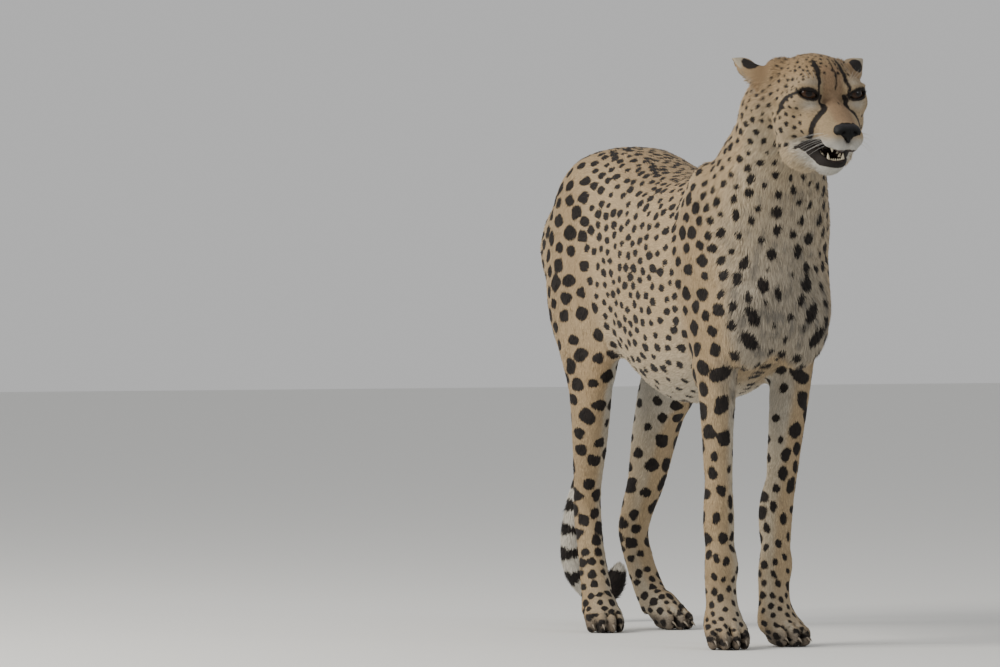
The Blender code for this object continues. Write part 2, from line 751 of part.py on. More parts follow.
def lower_canine(side):
    """A blunt cone that stands on the lower jaw, its foot sunk in the gum."""
    x, y = CANINE
    work = bmesh.new()
    height = CANINE_TIP - CANINE_BASE
    bmesh.ops.create_cone(
        work, cap_ends=True, segments=10, radius1=CANINE_RADIUS, radius2=0.8, depth=height
    )
    place = head_matrix() @ Matrix.Translation((side * x, y, CANINE_BASE + height / 2))
    bmesh.ops.transform(work, matrix=place, verts=work.verts)
    mesh = bpy.data.meshes.new("canine")
    work.to_mesh(mesh)
    work.free()
    return link("canine", mesh)


def finish_head(parts):
    """Opens the mouth and the lids, and fits jaw, eyes, ears and nose to the head."""
    head = parts["head"]
    for side in (LEFT, RIGHT):
        boolean(head, guide(eye_ball(side, GAP)))
        boolean(head, guide(lid_opening(side)))
        parts[f"eye_{SIDE_NAMES[side]}"] = eye_ball(side)
    nose = nose_form()
    boolean(head, guide(inflated(nose, GAP)))
    boolean(head, mouth_cutter())
    apply_modifiers(head)
    pieces = sorted(separate_pieces(head), key=lambda found: -len(found[1].data.polygons))
    bpy.data.objects.remove(head)
    (_, parts["head"]), (_, parts["lower_jaw"]) = pieces[:2]
    for _, crumb in pieces[2:]:
        bpy.data.objects.remove(crumb)
    for side in (LEFT, RIGHT):
        boolean(parts["lower_jaw"], guide(lower_canine(side)), "UNION")
    apply_modifiers(parts["lower_jaw"])
    parts["nose"] = nose
    rim = inflated(parts["head"], GAP)
    for side in (LEFT, RIGHT):
        ear = ear_form(side)
        boolean(ear, rim)
        apply_modifiers(ear)
        cups = sorted(separate_pieces(ear), key=lambda found: -len(found[1].data.polygons))
        bpy.data.objects.remove(ear)
        parts[f"ear_{SIDE_NAMES[side]}"] = cups[0][1]
        for _, crumb in cups[1:]:
            bpy.data.objects.remove(crumb)


def add_claws(parts):
    for kind in ("fore", "hind"):
        for side in (LEFT, RIGHT):
            paw = parts[f"{kind}paw_{SIDE_NAMES[side]}"]
            frame, width = paw_frame(kind, side), paw_size(kind)
            for across, forward in TOES:
                boolean(paw, guide(claw(frame, width, across, forward)), "UNION")
            apply_modifiers(paw)


# ---------------------------------------------------------------- the whole animal


def materials():
    return {
        "coat": material("tan_coat", (0.48, 0.34, 0.20), 0.85),
        "pale": material("pale_coat", (0.66, 0.58, 0.48), 0.85),
        "ear": material("ear_coat", (0.20, 0.16, 0.13), 0.85),
        "eye": material("amber_eye", (0.16, 0.07, 0.02), 0.12),
        "nose": material("nose_leather", (0.03, 0.027, 0.03), 0.45),
    }


def coat_of(name, finishes):
    if name.startswith("eye"):
        return finishes["eye"]
    if name.startswith("ear"):
        return finishes["ear"]
    if name == "nose":
        return finishes["nose"]
    if name in ("lower_jaw", "tail_end"):
        return finishes["pale"]
    return finishes["coat"]


def centre_on_floor(parts):
    """Moves every part so that the origin is the middle of the floor under the whole animal."""
    points = np.array([v.co for part in parts.values() for v in part.data.vertices])
    low, high = points.min(axis=0), points.max(axis=0)
    shift = Matrix.Translation((-(low[0] + high[0]) / 2, -(low[1] + high[1]) / 2, -low[2]))
    for part in parts.values():
        part.data.transform(shift)


def main():
    clear_scene()
    parts = part_flesh(fused_flesh())
    finish_head(parts)
    add_claws(parts)
    centre_on_floor(parts)
    finishes = materials()
    for name, part in parts.items():
        finish(part, name, coat_of(name, finishes))
    for obj in list(bpy.data.objects):
        if obj.hide_render:
            bpy.data.objects.remove(obj)


main()
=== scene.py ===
"""A life-size standing cheetah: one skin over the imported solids, a coat of mesh tufts that follows the
lie of the hair, and eyes, nose, mouth, claws and whiskers as pieces of their own."""

import math
from types import SimpleNamespace

import bpy
import numpy as np
import openvdb
from mathutils import Matrix, Vector
from mathutils.kdtree import KDTree


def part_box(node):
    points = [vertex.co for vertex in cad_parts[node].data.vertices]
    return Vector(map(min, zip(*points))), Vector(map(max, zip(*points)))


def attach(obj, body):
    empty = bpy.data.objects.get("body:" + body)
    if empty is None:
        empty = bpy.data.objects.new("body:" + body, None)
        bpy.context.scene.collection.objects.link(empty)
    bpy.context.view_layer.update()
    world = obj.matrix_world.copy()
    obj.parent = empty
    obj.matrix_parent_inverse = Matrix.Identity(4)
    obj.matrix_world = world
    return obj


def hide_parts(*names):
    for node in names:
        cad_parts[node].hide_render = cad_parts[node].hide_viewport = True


bl_info = {
    "name": "Cheetah model",
    "version": (1, 0, 0),
    "blender": (4, 5, 0),
    "location": "3D View > Sidebar > Cheetah",
    "description": "Skin, coat, eyes, mouth and claws of a standing cheetah, and its studio",
    "category": "Object",
}

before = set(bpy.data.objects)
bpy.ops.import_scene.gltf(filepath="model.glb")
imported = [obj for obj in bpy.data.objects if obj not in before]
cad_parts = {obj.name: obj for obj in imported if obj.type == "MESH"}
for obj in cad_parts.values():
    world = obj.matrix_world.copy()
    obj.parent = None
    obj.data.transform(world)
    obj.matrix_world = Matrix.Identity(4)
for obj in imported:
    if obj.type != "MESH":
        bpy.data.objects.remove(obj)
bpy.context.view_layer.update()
LEFT, RIGHT = 1, -1
SIDE_NAMES = {LEFT: "left", RIGHT: "right"}
made = {}  # the skin's arrays, which its operator leaves for the coat's

# ---------------------------------------------------------------- the animal's measures, in metres

SHOULDER_HEIGHT = 0.715
TRUNK_LENGTH = 0.80
CHEST_WIDTH = 0.226
PAW_WIDTH = 0.068
HIND_PAW_SCALE = 0.92
EYE_RADIUS = 0.0165
CORNEA_RISE, CORNEA_ANGLE = 0.0011, 0.78
SOLE_HEIGHT, HAIR_FLOOR = 0.0006, 0.0002
SKIN_TRIANGLES = 196000
NO_MARK = -0.02  # what a mark is where there is none: metres outside its edge

# Share along the trunk; top, bottom and widest height as shares of the shoulder's; half width as a
# share of half the chest; how square the section is.
TRUNK = (
    (0.00, 0.735, 0.695, 0.06, 0.71, 2.0),
    (0.01, 0.790, 0.655, 0.30, 0.71, 2.0),
    (0.05, 0.880, 0.620, 0.62, 0.71, 2.0),
    (0.12, 0.955, 0.578, 0.82, 0.71, 2.1),
    (0.20, 0.985, 0.548, 0.92, 0.72, 2.2),
    (0.32, 0.976, 0.507, 1.00, 0.74, 2.4),
    (0.46, 0.976, 0.493, 0.98, 0.75, 2.5),
    (0.60, 1.002, 0.535, 0.92, 0.78, 2.5),
    (0.72, 1.028, 0.595, 0.90, 0.82, 2.6),
    (0.82, 1.032, 0.628, 0.93, 0.84, 2.8),
    (0.90, 1.000, 0.650, 0.87, 0.83, 2.6),
    (0.96, 0.930, 0.690, 0.64, 0.81, 2.2),
    (1.00, 0.860, 0.750, 0.22, 0.80, 2.0),
)
CHEST_FRONT_Y = -0.365
# x, y, z, reach forward, back and sideways.
NECK = (
    (0.000, -0.120, 0.470, 0.030, 0.030, 0.030),
    (0.000, -0.160, 0.505, 0.105, 0.110, 0.085),
    (0.000, -0.205, 0.545, 0.128, 0.134, 0.106),
    (0.000, -0.265, 0.615, 0.104, 0.128, 0.104),
    (-0.006, -0.322, 0.680, 0.076, 0.112, 0.086),
    (-0.012, -0.372, 0.737, 0.058, 0.090, 0.070),
    (-0.011, -0.412, 0.786, 0.050, 0.068, 0.077),
    (-0.006, -0.440, 0.798, 0.045, 0.062, 0.076),
    (0.000, -0.480, 0.800, 0.040, 0.050, 0.056),
)
# x, y, z, radius.
TAIL = (
    (0.000, 0.350, 0.668, 0.040),
    (0.000, 0.415, 0.646, 0.034),
    (0.004, 0.468, 0.585, 0.027),
    (0.014, 0.490, 0.485, 0.023),
    (0.020, 0.488, 0.370, 0.021),
    (0.014, 0.488, 0.270, 0.020),
    (-0.008, 0.490, 0.190, 0.020),
    (-0.016, 0.496, 0.130, 0.021),
    (-0.006, 0.502, 0.082, 0.021),
    (0.020, 0.503, 0.054, 0.020),
    (0.046, 0.500, 0.052, 0.019),
    (0.059, 0.497, 0.074, 0.015),
    (0.061, 0.496, 0.090, 0.007),
)
FORELEG = {
    RIGHT: (
        (0.064, -0.262, 0.500, 0.058, 0.068, 0.037),
        (0.066, -0.252, 0.430, 0.048, 0.056, 0.033),
        (0.065, -0.254, 0.365, 0.036, 0.042, 0.028),
        (0.066, -0.258, 0.290, 0.029, 0.031, 0.0245),
        (0.065, -0.262, 0.210, 0.024, 0.025, 0.0230),
        (0.065, -0.264, 0.140, 0.024, 0.026, 0.0250),
        (0.065, -0.266, 0.105, 0.024, 0.026, 0.0255),
        (0.065, -0.272, 0.065, 0.023, 0.022, 0.0245),
        (0.066, -0.280, 0.032, 0.024, 0.022, 0.0255),
    ),
    LEFT: (
        (0.064, -0.242, 0.500, 0.058, 0.068, 0.037),
        (0.067, -0.217, 0.430, 0.048, 0.056, 0.035),
        (0.065, -0.212, 0.365, 0.037, 0.042, 0.031),
        (0.058, -0.210, 0.290, 0.029, 0.031, 0.0275),
        (0.049, -0.212, 0.210, 0.024, 0.025, 0.0245),
        (0.042, -0.215, 0.140, 0.024, 0.026, 0.0250),
        (0.038, -0.219, 0.105, 0.024, 0.026, 0.0255),
        (0.036, -0.226, 0.065, 0.023, 0.022, 0.0245),
        (0.037, -0.236, 0.032, 0.024, 0.022, 0.0255),
    ),
}
HINDLEG = {
    RIGHT: (
        (0.060, 0.300, 0.600, 0.100, 0.112, 0.048),
        (0.072, 0.292, 0.520, 0.096, 0.110, 0.050),
        (0.078, 0.260, 0.440, 0.074, 0.078, 0.042),
        (0.079, 0.245, 0.370, 0.050, 0.054, 0.034),
        (0.074, 0.262, 0.290, 0.036, 0.036, 0.029),
        (0.067, 0.290, 0.220, 0.026, 0.026, 0.0240),
        (0.063, 0.300, 0.175, 0.025, 0.030, 0.0235),
        (0.064, 0.283, 0.125, 0.023, 0.024, 0.0230),
        (0.067, 0.256, 0.075, 0.022, 0.022, 0.0240),
        (0.069, 0.236, 0.032, 0.024, 0.022, 0.0250),
    ),
    LEFT: (
        (0.060, 0.300, 0.600, 0.100, 0.112, 0.048),
        (0.074, 0.300, 0.520, 0.094, 0.106, 0.050),
        (0.078, 0.292, 0.440, 0.100, 0.092, 0.044),
        (0.071, 0.300, 0.385, 0.080, 0.074, 0.041),
        (0.064, 0.318, 0.340, 0.058, 0.058, 0.039),
        (0.054, 0.325, 0.290, 0.046, 0.044, 0.0365),
        (0.043, 0.326, 0.230, 0.036, 0.034, 0.0315),
        (0.033, 0.340, 0.180, 0.029, 0.031, 0.0270),
        (0.030, 0.348, 0.145, 0.026, 0.031, 0.0255),
        (0.035, 0.338, 0.105, 0.024, 0.024, 0.0240),
        (0.042, 0.322, 0.068, 0.022, 0.021, 0.0240),
        (0.049, 0.296, 0.032, 0.024, 0.022, 0.0250),
    ),
}
# Where a paw stands, x outward and y, and how far its toes turn outward.
PAWS = {
    ("fore", RIGHT): (0.069, -0.297, 8),
    ("fore", LEFT): (0.042, -0.246, 20),
    ("hind", RIGHT): (0.070, 0.216, 8),
    ("hind", LEFT): (0.056, 0.266, 26),
}
TOES = ((-0.335, 0.36), (-0.125, 0.55), (0.125, 0.55), (0.335, 0.36))
# Muscles under the coat, on each side: centre, radii, pitch, roll.
MUSCLES = (
    ((0.056, -0.200, 0.612), (0.038, 0.068, 0.108), 24, 10),  # shoulder blade
    ((0.062, -0.268, 0.500), (0.036, 0.070, 0.085), -18, 6),  # upper arm
    ((0.037, -0.312, 0.490), (0.043, 0.046, 0.080), 0, 0),  # breast
    ((0.062, 0.292, 0.622), (0.048, 0.105, 0.095), 10, -4),  # haunch
    ((0.060, 0.388, 0.580), (0.044, 0.068, 0.078), 12, 0),  # buttock
    ((0.066, 0.185, 0.480), (0.030, 0.060, 0.075), 25, 0),  # flank fold
)

# The head's own frame: origin midway between the eyes, millimetres, Y to its back.
HEAD_PLACE = (0.004, -0.530, 0.8135)
HEAD_TURN = 2.5
EYE_ACROSS, EYE_BACK = 34.5, 7.0
GAZE_OUT = 16
# centre, radii, pitch, roll, paired.
HEAD_FORMS = (
    ((0, 60, 15), (56, 68, 46), 8, 0, False),  # braincase
    ((42, 88, 30), (27, 30, 25), 0, 0, True),  # ear root
    ((0, 46, 10), (42, 40, 38), 0, 0, False),  # forehead
    ((0, 98, -4), (58, 52, 52), 0, 0, False),  # nape
    ((30, 9, 17), (19, 17, 11), 20, 14, True),  # brow
    ((43, 30, -14), (24, 38, 24), -8, -8, True),  # cheekbone
    ((38, 46, -40), (31, 40, 34), 0, 0, True),  # cheek
    ((26, 62, -62), (32, 42, 34), 0, 0, True),  # angle of the jaw
    ((0, -19, -34), (17, 41, 15), 44, 0, False),  # bridge of the nose
    ((0, -16, -46), (33, 40, 27), 18, 0, False),  # muzzle
    ((28, 7, -27), (19, 25, 17), 10, 0, True),  # under the eye
    ((27, 6, -48), (19, 27, 19), 0, 0, True),  # between cheek and muzzle
    ((15, -40, -64), (16, 22, 17), 8, 0, True),  # whisker pad
    ((0, -50, -52), (17, 13, 13), 0, 0, False),  # tip of the nose
    ((0, 0, -103), (18, 24, 14), -14, 0, False),  # chin
    ((10, 4, -97), (13, 27, 11), -12, 0, True),  # lower lip
    ((17, 36, -92), (21, 38, 21), -18, 0, True),  # jaw
    ((0, 58, -70), (36, 48, 36), 0, 0, False),  # throat
    ((24, 50, -84), (30, 38, 26), -10, 0, True),  # ruff under the jaw
)
EAR_LENGTH, EAR_HALF_WIDTH, EAR_CUP = 68, 25, 13
EAR_ROOT = (50, 88, 22)
EAR_AXIS = (0.755, 0.50, 0.37)
EAR_OPENING = (0.08, 0.93, -0.40)


# ---------------------------------------------------------------- places


def turned(pitch=0.0, roll=0.0, yaw=0.0):
    """The 3 by 3 turn about X, then Y, then Z, in degrees, as numpy columns."""
    turn = (
        Matrix.Rotation(math.radians(yaw), 3, "Z")
        @ Matrix.Rotation(math.radians(roll), 3, "Y")
        @ Matrix.Rotation(math.radians(pitch), 3, "X")
    )
    return np.array(turn)


def unit(vectors, least=0.0):
    """Rows of vectors over their own lengths; least is added to a length that may be nought."""
    return vectors / (np.linalg.norm(vectors, axis=-1, keepdims=True) + least)


def on_side(side, row):
    """A row's numbers as an array, the first, which is across, turned to a side."""
    return np.array([side * row[0], *row[1:]])


HEAD_AXES = turned(yaw=HEAD_TURN)


def from_head(points):
    """Head millimetres to the animal's metres: turn by the head's yaw, scale and move to its place."""
    return np.asarray(points, float) @ HEAD_AXES.T * 0.001 + np.array(HEAD_PLACE)


def to_head(points):
    """The animal's metres to head millimetres, the reverse of from_head."""
    return (np.asarray(points) - np.array(HEAD_PLACE)) @ HEAD_AXES * 1000


def middle(node):
    """The middle of a solid's box."""
    low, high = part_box(node)
    return (np.array(low) + np.array(high)) / 2


def eye_centre(side):
    """An eye's centre, in metres."""
    return from_head((side * EYE_ACROSS, EYE_BACK, 0))


def gaze_front(side):
    """The way that an eye looks, in the head's frame."""
    angle = math.radians(side * GAZE_OUT)
    return np.array([math.sin(angle), -math.cos(angle), 0.0])


def from_eye(head, side):
    """How far points are from an eye's centre, in head millimetres."""
    return np.linalg.norm(head - np.array([side * EYE_ACROSS, EYE_BACK, 0]), axis=1)


# The solids were centred on the floor after they were made: the eyes tell by how much.
SHIFT = (middle("eye_left") + middle("eye_right") - eye_centre(LEFT) - eye_centre(RIGHT)) / 2


# ---------------------------------------------------------------- fields of distance


def smooth_through(stations, steps=6):
    """Rows between the given rows, on a Catmull-Rom curve through them."""
    rows = np.asarray(stations, float)
    padded = np.vstack([2 * rows[0] - rows[1], rows, 2 * rows[-1] - rows[-2]])
    a, b, c, d = (padded[i : i + len(rows) - 1, None, :] for i in range(4))
    t = (np.arange(steps) / steps)[None, :, None]
    curve = 2 * b + (c - a) * t + (2 * a - 5 * b + 4 * c - d) * t**2
    curve = 0.5 * (curve + (3 * b - a - 3 * c + d) * t**3)
    return np.vstack([curve.reshape(-1, rows.shape[1]), rows[-1:]])


def tube_faces(rings, around):
    """Triangles over a grid of closed rings, then a fan at each end to the two points after the rings."""
    i, j = np.meshgrid(np.arange(rings - 1), np.arange(around), indexing="ij")
    k = (j + 1) % around
    a, b, c, d = i * around + j, i * around + k, (i + 1) * around + k, (i + 1) * around + j
    edge, last, end = np.arange(around), (rings - 1) * around, rings * around
    following = (edge + 1) % around
    return np.concatenate([
        np.stack([a, b, c], -1).reshape(-1, 3),
        np.stack([a, c, d], -1).reshape(-1, 3),
        np.stack([np.full(around, end), following, edge], -1),
        np.stack([np.full(around, end + 1), last + edge, last + following], -1),
    ])


def ring_skin(centres, ups, sides, up, down, side, fullness=2.0, count=40):
    """Rings of points: centre + up-axis * reach * cos^(2/n) + side-axis * reach * sin^(2/n), with
    one reach above and another below, joined into triangles and closed by a fan at each end."""
    turn = np.linspace(0, 2 * math.pi, count, endpoint=False)
    power = 2 / np.broadcast_to(fullness, len(centres))[:, None]
    cosine = np.sign(np.cos(turn)) * np.abs(np.cos(turn)) ** power
    sine = np.sign(np.sin(turn)) * np.abs(np.sin(turn)) ** power
    reach = np.where(cosine > 0, up[:, None], down[:, None]) * cosine
    rings = centres[:, None] + reach[..., None] * ups[:, None]
    rings = rings + (side[:, None] * sine)[..., None] * sides[:, None]
    return np.vstack([rings.reshape(-1, 3), centres[:1], centres[-1:]]), tube_faces(len(centres), count)


def limb_skin(stations, count=40):
    """ring_skin along joints, each ring square to the path; reaches are forward, back and sideways."""
    rows = smooth_through(stations)
    centres = rows[:, :3]
    along = unit(np.gradient(centres, axis=0))
    sides = unit(np.array([1.0, 0, 0]) - along * along[:, :1])
    forward = np.cross(along, sides)
    forward *= np.where(forward[:, 1:2] > 0, -1, 1)
    return ring_skin(centres, forward, sides, rows[:, 3], rows[:, 4], rows[:, 5], 2.0, count)


def trunk_skin():
    """ring_skin along the trunk: upright rings whose reaches are the outline's heights above and below
    the widest place, and the half width."""
    rows = smooth_through(TRUNK)
    y = CHEST_FRONT_Y + rows[:, 0] * TRUNK_LENGTH
    top, bottom, widest = (rows[:, i] * SHOULDER_HEIGHT for i in (1, 2, 4))
    centres = np.stack([0 * y, y, widest], axis=1)
    upright = np.tile([0.0, 0, 1], (len(y), 1))
    across = np.tile([1.0, 0, 0], (len(y), 1))
    half = rows[:, 3] * CHEST_WIDTH / 2
    return ring_skin(centres, upright, across, top - widest, widest - bottom, half, rows[:, 5], 64)


class Field:
    """Signed distances on a cubic grid, in metres and below zero inside the flesh. Shapes are added
    or taken away with a soft edge, the polynomial smooth minimum of two distances."""

    def __init__(self, low, high, step, reach):
        self.step, self.reach = step, reach
        self.start = np.floor(np.asarray(low) / step).astype(int)
        self.size = np.ceil(np.asarray(high) / step).astype(int) - self.start + 1
        self.value = np.full(self.size, reach, np.float32)

    def block(self, low, high):
        """The part of the grid that a box covers: slices, and its X, Y and Z as three open arrays."""
        a = np.clip(np.floor(np.asarray(low) / self.step).astype(int) - self.start, 0, self.size)
        b = np.clip(np.ceil(np.asarray(high) / self.step).astype(int) - self.start + 1, 0, self.size)
        grid = [(np.arange(a[i], b[i]) + self.start[i]).astype(np.float32) * self.step for i in range(3)]
        return tuple(slice(a[i], b[i]) for i in range(3)), np.ix_(*grid), a + self.start

    def blend(self, place, distance, soft, carve):
        """Joins a shape, or carves it away, which is the same of both distances' opposites:
        a + (b - a) h - s h (1 - h), where h = clamp(1/2 + (a - b) / 2s)."""
        sign = -1 if carve else 1
        old = sign * self.value[place]
        share = np.clip(0.5 + 0.5 * (old - distance) / soft, 0, 1)
        self.value[place] = sign * (old + (distance - old) * share - soft * share * (1 - share))

    def ellipsoid(self, centre, radii, axes=np.eye(3), soft=0.01, carve=False):
        """Distance to an ellipsoid, near enough: k (k - 1) / g, where k is the length of the place
        over the radii and g the length of the place over the squared radii."""
        centre, radii = np.asarray(centre, float), np.asarray(radii, float)
        spread = np.sqrt((axes**2) @ radii**2) + self.reach
        place, (x, y, z), _ = self.block(centre - spread, centre + spread)
        if 0 in self.value[place].shape:
            return
        parts = []
        for i in range(3):
            q = axes[0, i] * (x - centre[0]) + axes[1, i] * (y - centre[1]) + axes[2, i] * (z - centre[2])
            parts.append((q / radii[i]).astype(np.float32))
        k = np.sqrt(sum(q * q for q in parts))
        g = np.sqrt(sum((q / radii[i]) ** 2 for i, q in enumerate(parts))) + 1e-6
        distance = np.clip(k * (k - 1) / g, -self.reach, self.reach)
        self.blend(place, distance, soft, carve)

    def skin(self, points, triangles, soft=0.01, carve=False):
        """Adds or takes away a closed skin of triangles, by its own distances on the grid."""
        grid = openvdb.FloatGrid.createLevelSetFromPolygons(
            np.ascontiguousarray(points, np.float32),
            triangles=np.ascontiguousarray(triangles, np.int32),
            transform=openvdb.createLinearTransform(voxelSize=self.step),
            halfWidth=self.reach / self.step,
        )
        low, high = np.min(points, axis=0) - self.reach, np.max(points, axis=0) + self.reach
        place, _, first = self.block(low, high)
        distance = np.full(self.value[place].shape, self.reach, np.float32)
        grid.copyToArray(distance, ijk=tuple(int(v) for v in first))
        self.blend(place, distance, soft, carve)

    def places(self):
        """X, Y and Z of the whole grid as three open arrays."""
        return np.ix_(*[(np.arange(n) + s).astype(np.float32) * self.step for n, s in zip(self.size, self.start)])

    def surface(self):
        """Points and quads where the distance is nought, faces outward."""
        grid = openvdb.FloatGrid(background=self.reach)
        grid.copyFromArray(self.value, ijk=tuple(int(v) for v in self.start))
        grid.transform = openvdb.createLinearTransform(voxelSize=self.step)
        points, _, quads = grid.convertToPolygons(isovalue=0.0, adaptivity=0.0)
        return points, quads


def placed(name, data):
    """A new object with this data, in the scene."""
    obj = bpy.data.objects.new(name, data)
    bpy.context.scene.collection.objects.link(obj)
    return obj


def mesh_object(name, points, faces):
    """A smooth object from arrays: all faces have the same number of corners."""
    mesh = bpy.data.meshes.new(name)
    corners = faces.shape[1]
    mesh.vertices.add(len(points))
    mesh.vertices.foreach_set("co", np.ascontiguousarray(points, np.float32).ravel())
    mesh.loops.add(faces.size)
    mesh.loops.foreach_set("vertex_index", np.ascontiguousarray(faces, np.int32).ravel())
    mesh.polygons.add(len(faces))
    mesh.polygons.foreach_set("loop_start", np.arange(0, faces.size, corners, dtype=np.int32))
    mesh.update(calc_edges=True)
    mesh.validate()
    mesh.shade_smooth()
    return placed(name, mesh)


def paint(obj, name, values):
    """A vertex attribute: one number, or three as a colour."""
    values = np.asarray(values, np.float32)
    if values.ndim == 1:
        obj.data.attributes.new(name, "FLOAT", "POINT").data.foreach_set("value", values)
        return
    colours = np.ones((len(values), 4), np.float32)
    colours[:, :3] = values
    obj.data.attributes.new(name, "FLOAT_COLOR", "POINT").data.foreach_set("color", colours.ravel())


# ---------------------------------------------------------------- the skin's shape


def paw_frame(kind, side):
    """Where a paw stands, and its axes turned by its toes' way."""
    x, y, turn = PAWS[kind, side]
    return np.array([side * x, y, 0]), turned(yaw=side * turn)


def paw_size(kind):
    """A paw's width, the length that its forms are shares of."""
    return PAW_WIDTH * (HIND_PAW_SCALE if kind == "hind" else 1.0)


def add_paw(field, kind, side):
    """Palm, instep and heel, then four toes, each with its knuckle, its end and its pad."""
    width = paw_size(kind)
    origin, axes = paw_frame(kind, side)
    yaw = math.degrees(math.atan2(axes[1, 0], axes[0, 0]))

    def add(centre, radii, pitch, soft, carve=False):
        place = origin + axes @ (np.array(centre) * width)
        field.ellipsoid(place, np.array(radii) * width, turned(pitch, 0, yaw), soft, carve)

    add((0, 0.05, 0.42), (0.42, 0.50, 0.33), 12, 0.012)
    add((0, 0.22, 0.62), (0.36, 0.36, 0.34), 20, 0.014)
    add((0, 0.02, 0.16), (0.34, 0.34, 0.18), 0, 0.006)
    for across, forward in TOES:
        add((across, -forward + 0.30, 0.40), (0.145, 0.22, 0.20), 30, 0.006)
        add((across, -forward + 0.11, 0.27), (0.150, 0.24, 0.20), 12, 0.004)
        add((across, -forward + 0.06, 0.11), (0.125, 0.19, 0.13), 0, 0.003)
    for left, right in zip(TOES[:-1], TOES[1:]):
        across = (left[0] + right[0]) / 2
        forward = (left[1] + right[1]) / 2
        add((across, -forward + 0.10, 0.26), (0.022, 0.28, 0.26), 10, 0.003, True)


def body_field(settings):
    """Trunk, neck, tail, muscles, legs and paws; the neck sinks under the head's own skin."""
    field = Field((-0.155, -0.56, -0.02), (0.155, 0.545, 0.86), settings.body_grid, 0.024)
    field.skin(*trunk_skin(), 0.01)
    field.skin(*limb_skin(NECK, 56), 0.03)
    for centre, radii, pitch, roll in MUSCLES:
        for side in (LEFT, RIGHT):
            field.ellipsoid(on_side(side, centre), radii, turned(pitch, side * roll), 0.022)
    tail = [(x, y, z, radius, radius, radius) for x, y, z, radius in TAIL]
    field.skin(*limb_skin(tail), 0.02)
    for side in (LEFT, RIGHT):
        for rows in (FORELEG[side], HINDLEG[side]):
            outer = [(side * x, *rest) for x, *rest in rows]
            field.skin(*limb_skin(outer, 48), 0.018)
        for kind in ("fore", "hind"):
            add_paw(field, kind, side)
    add_leg_forms(field)
    return field


def leg_point(rows, side, height):
    """The middle of a leg at a height."""
    path = smooth_through([(side * x, *rest) for x, *rest in rows])
    order = np.argsort(path[:, 2])
    return np.array([np.interp(height, path[order, 2], path[order, i]) for i in range(3)])


def add_leg_forms(field):
    """Elbow, wrist, wrist pad, knee, hock and the cord above it, and the hollows beside that cord."""
    for side in (LEFT, RIGHT):
        fore, hind = FORELEG[side], HINDLEG[side]
        elbow = leg_point(fore, side, 0.405)
        field.ellipsoid(elbow + (0, 0.046, 0), (0.020, 0.020, 0.030), turned(10), 0.02)
        wrist = leg_point(fore, side, 0.118)
        field.ellipsoid(wrist + (0, -0.012, 0.004), (0.024, 0.018, 0.030), soft=0.014)
        field.ellipsoid(wrist + (0, 0.024, -0.012), (0.010, 0.011, 0.014), soft=0.006)
        field.ellipsoid(wrist + (0, 0.010, 0.075), (0.022, 0.020, 0.05), soft=0.014)
        knee = leg_point(hind, side, 0.405 if side == RIGHT else 0.40)
        field.ellipsoid(knee + (0, -0.042, 0), (0.026, 0.026, 0.040), turned(-14), 0.02)
        hock = leg_point(hind, side, 0.180 if side == RIGHT else 0.152)
        field.ellipsoid(hock + (0, 0.020, 0.006), (0.012, 0.014, 0.022), turned(-20), 0.010)


def add_head(field):
    """The head's forms, joined one by one; a paired one stands on both sides."""
    for centre, radii, pitch, roll, paired in HEAD_FORMS:
        for side in (LEFT, RIGHT) if paired else (LEFT,):
            head_form(field, on_side(side, centre), radii, pitch, side * roll, 9)


def head_form(field, centre, radii, pitch=0, roll=0, soft=8, carve=False, yaw=0):
    """An ellipsoid given in head millimetres."""
    axes = HEAD_AXES @ turned(pitch, roll, yaw)
    field.ellipsoid(from_head(centre), np.array(radii) * 0.001, axes, soft * 0.001, carve)


def add_eyes_and_lids(field):
    """Each eye lies in a socket; a lid of a ball's shape wraps it, open in an almond that slants
    down to the nose, thick at its rim, with a fold over it and a groove at its inner corner."""
    for side in (LEFT, RIGHT):
        x, y = side * EYE_ACROSS, EYE_BACK
        ball, front = EYE_RADIUS * 1000, gaze_front(side)
        head_form(field, (x, y, 0) + front * 1.0, (ball + 3.2,) * 3, soft=7)
        head_form(field, (x, y, 9) + front * 11, (16, 8.5, 4.2), 0, side * -8, 4, False, side * GAZE_OUT)
        opening = np.array([x, y, -2.2]) + front * ball
        head_form(field, opening, (15.4, 12, 5.5), 0, -side * 12, 2.0, True, side * GAZE_OUT)
        corner = np.array([x - side * 17, y - 14.5, -5.5])
        head_form(field, corner, (6, 3.5, 2.0), 0, -side * 35, 2.0, True, side * GAZE_OUT)
        head_form(field, (x, y, 0), (ball + 0.3,) * 3, soft=0.8, carve=True)


MOUTH_CORNER, MOUTH_FRONT, LIP_LINE, MOUTH_OPEN, MOUTH_SIDE = (14, -71), -78, -86, 53, 60


def open_mouth(field):
    """A wedge from the corners of the mouth to its front, its roof hollowed up inside the lips."""
    back, height = MOUTH_CORNER
    upper = [(MOUTH_FRONT, LIP_LINE), (back, height + 0.6)]
    lower = [(back, height - 0.6), (MOUTH_FRONT, LIP_LINE - MOUTH_OPEN)]
    outline = upper + lower
    points = from_head([(s * MOUTH_SIDE, y, z) for s in (LEFT, RIGHT) for y, z in outline])
    triangles = [(0, 1, 2), (0, 2, 3), (6, 5, 4), (7, 6, 4)]
    for i in range(4):
        j = (i + 1) % 4
        triangles += [(i, i + 4, j + 4), (i, j + 4, j)]
    field.skin(points, np.array(triangles), 0.004, True)
    head_form(field, (0, -8, -84), (17, 34, 9), 4, 0, 3, True)
    head_form(field, (0, 2, -94), (15, 30, 7), -8, 0, 3, True)


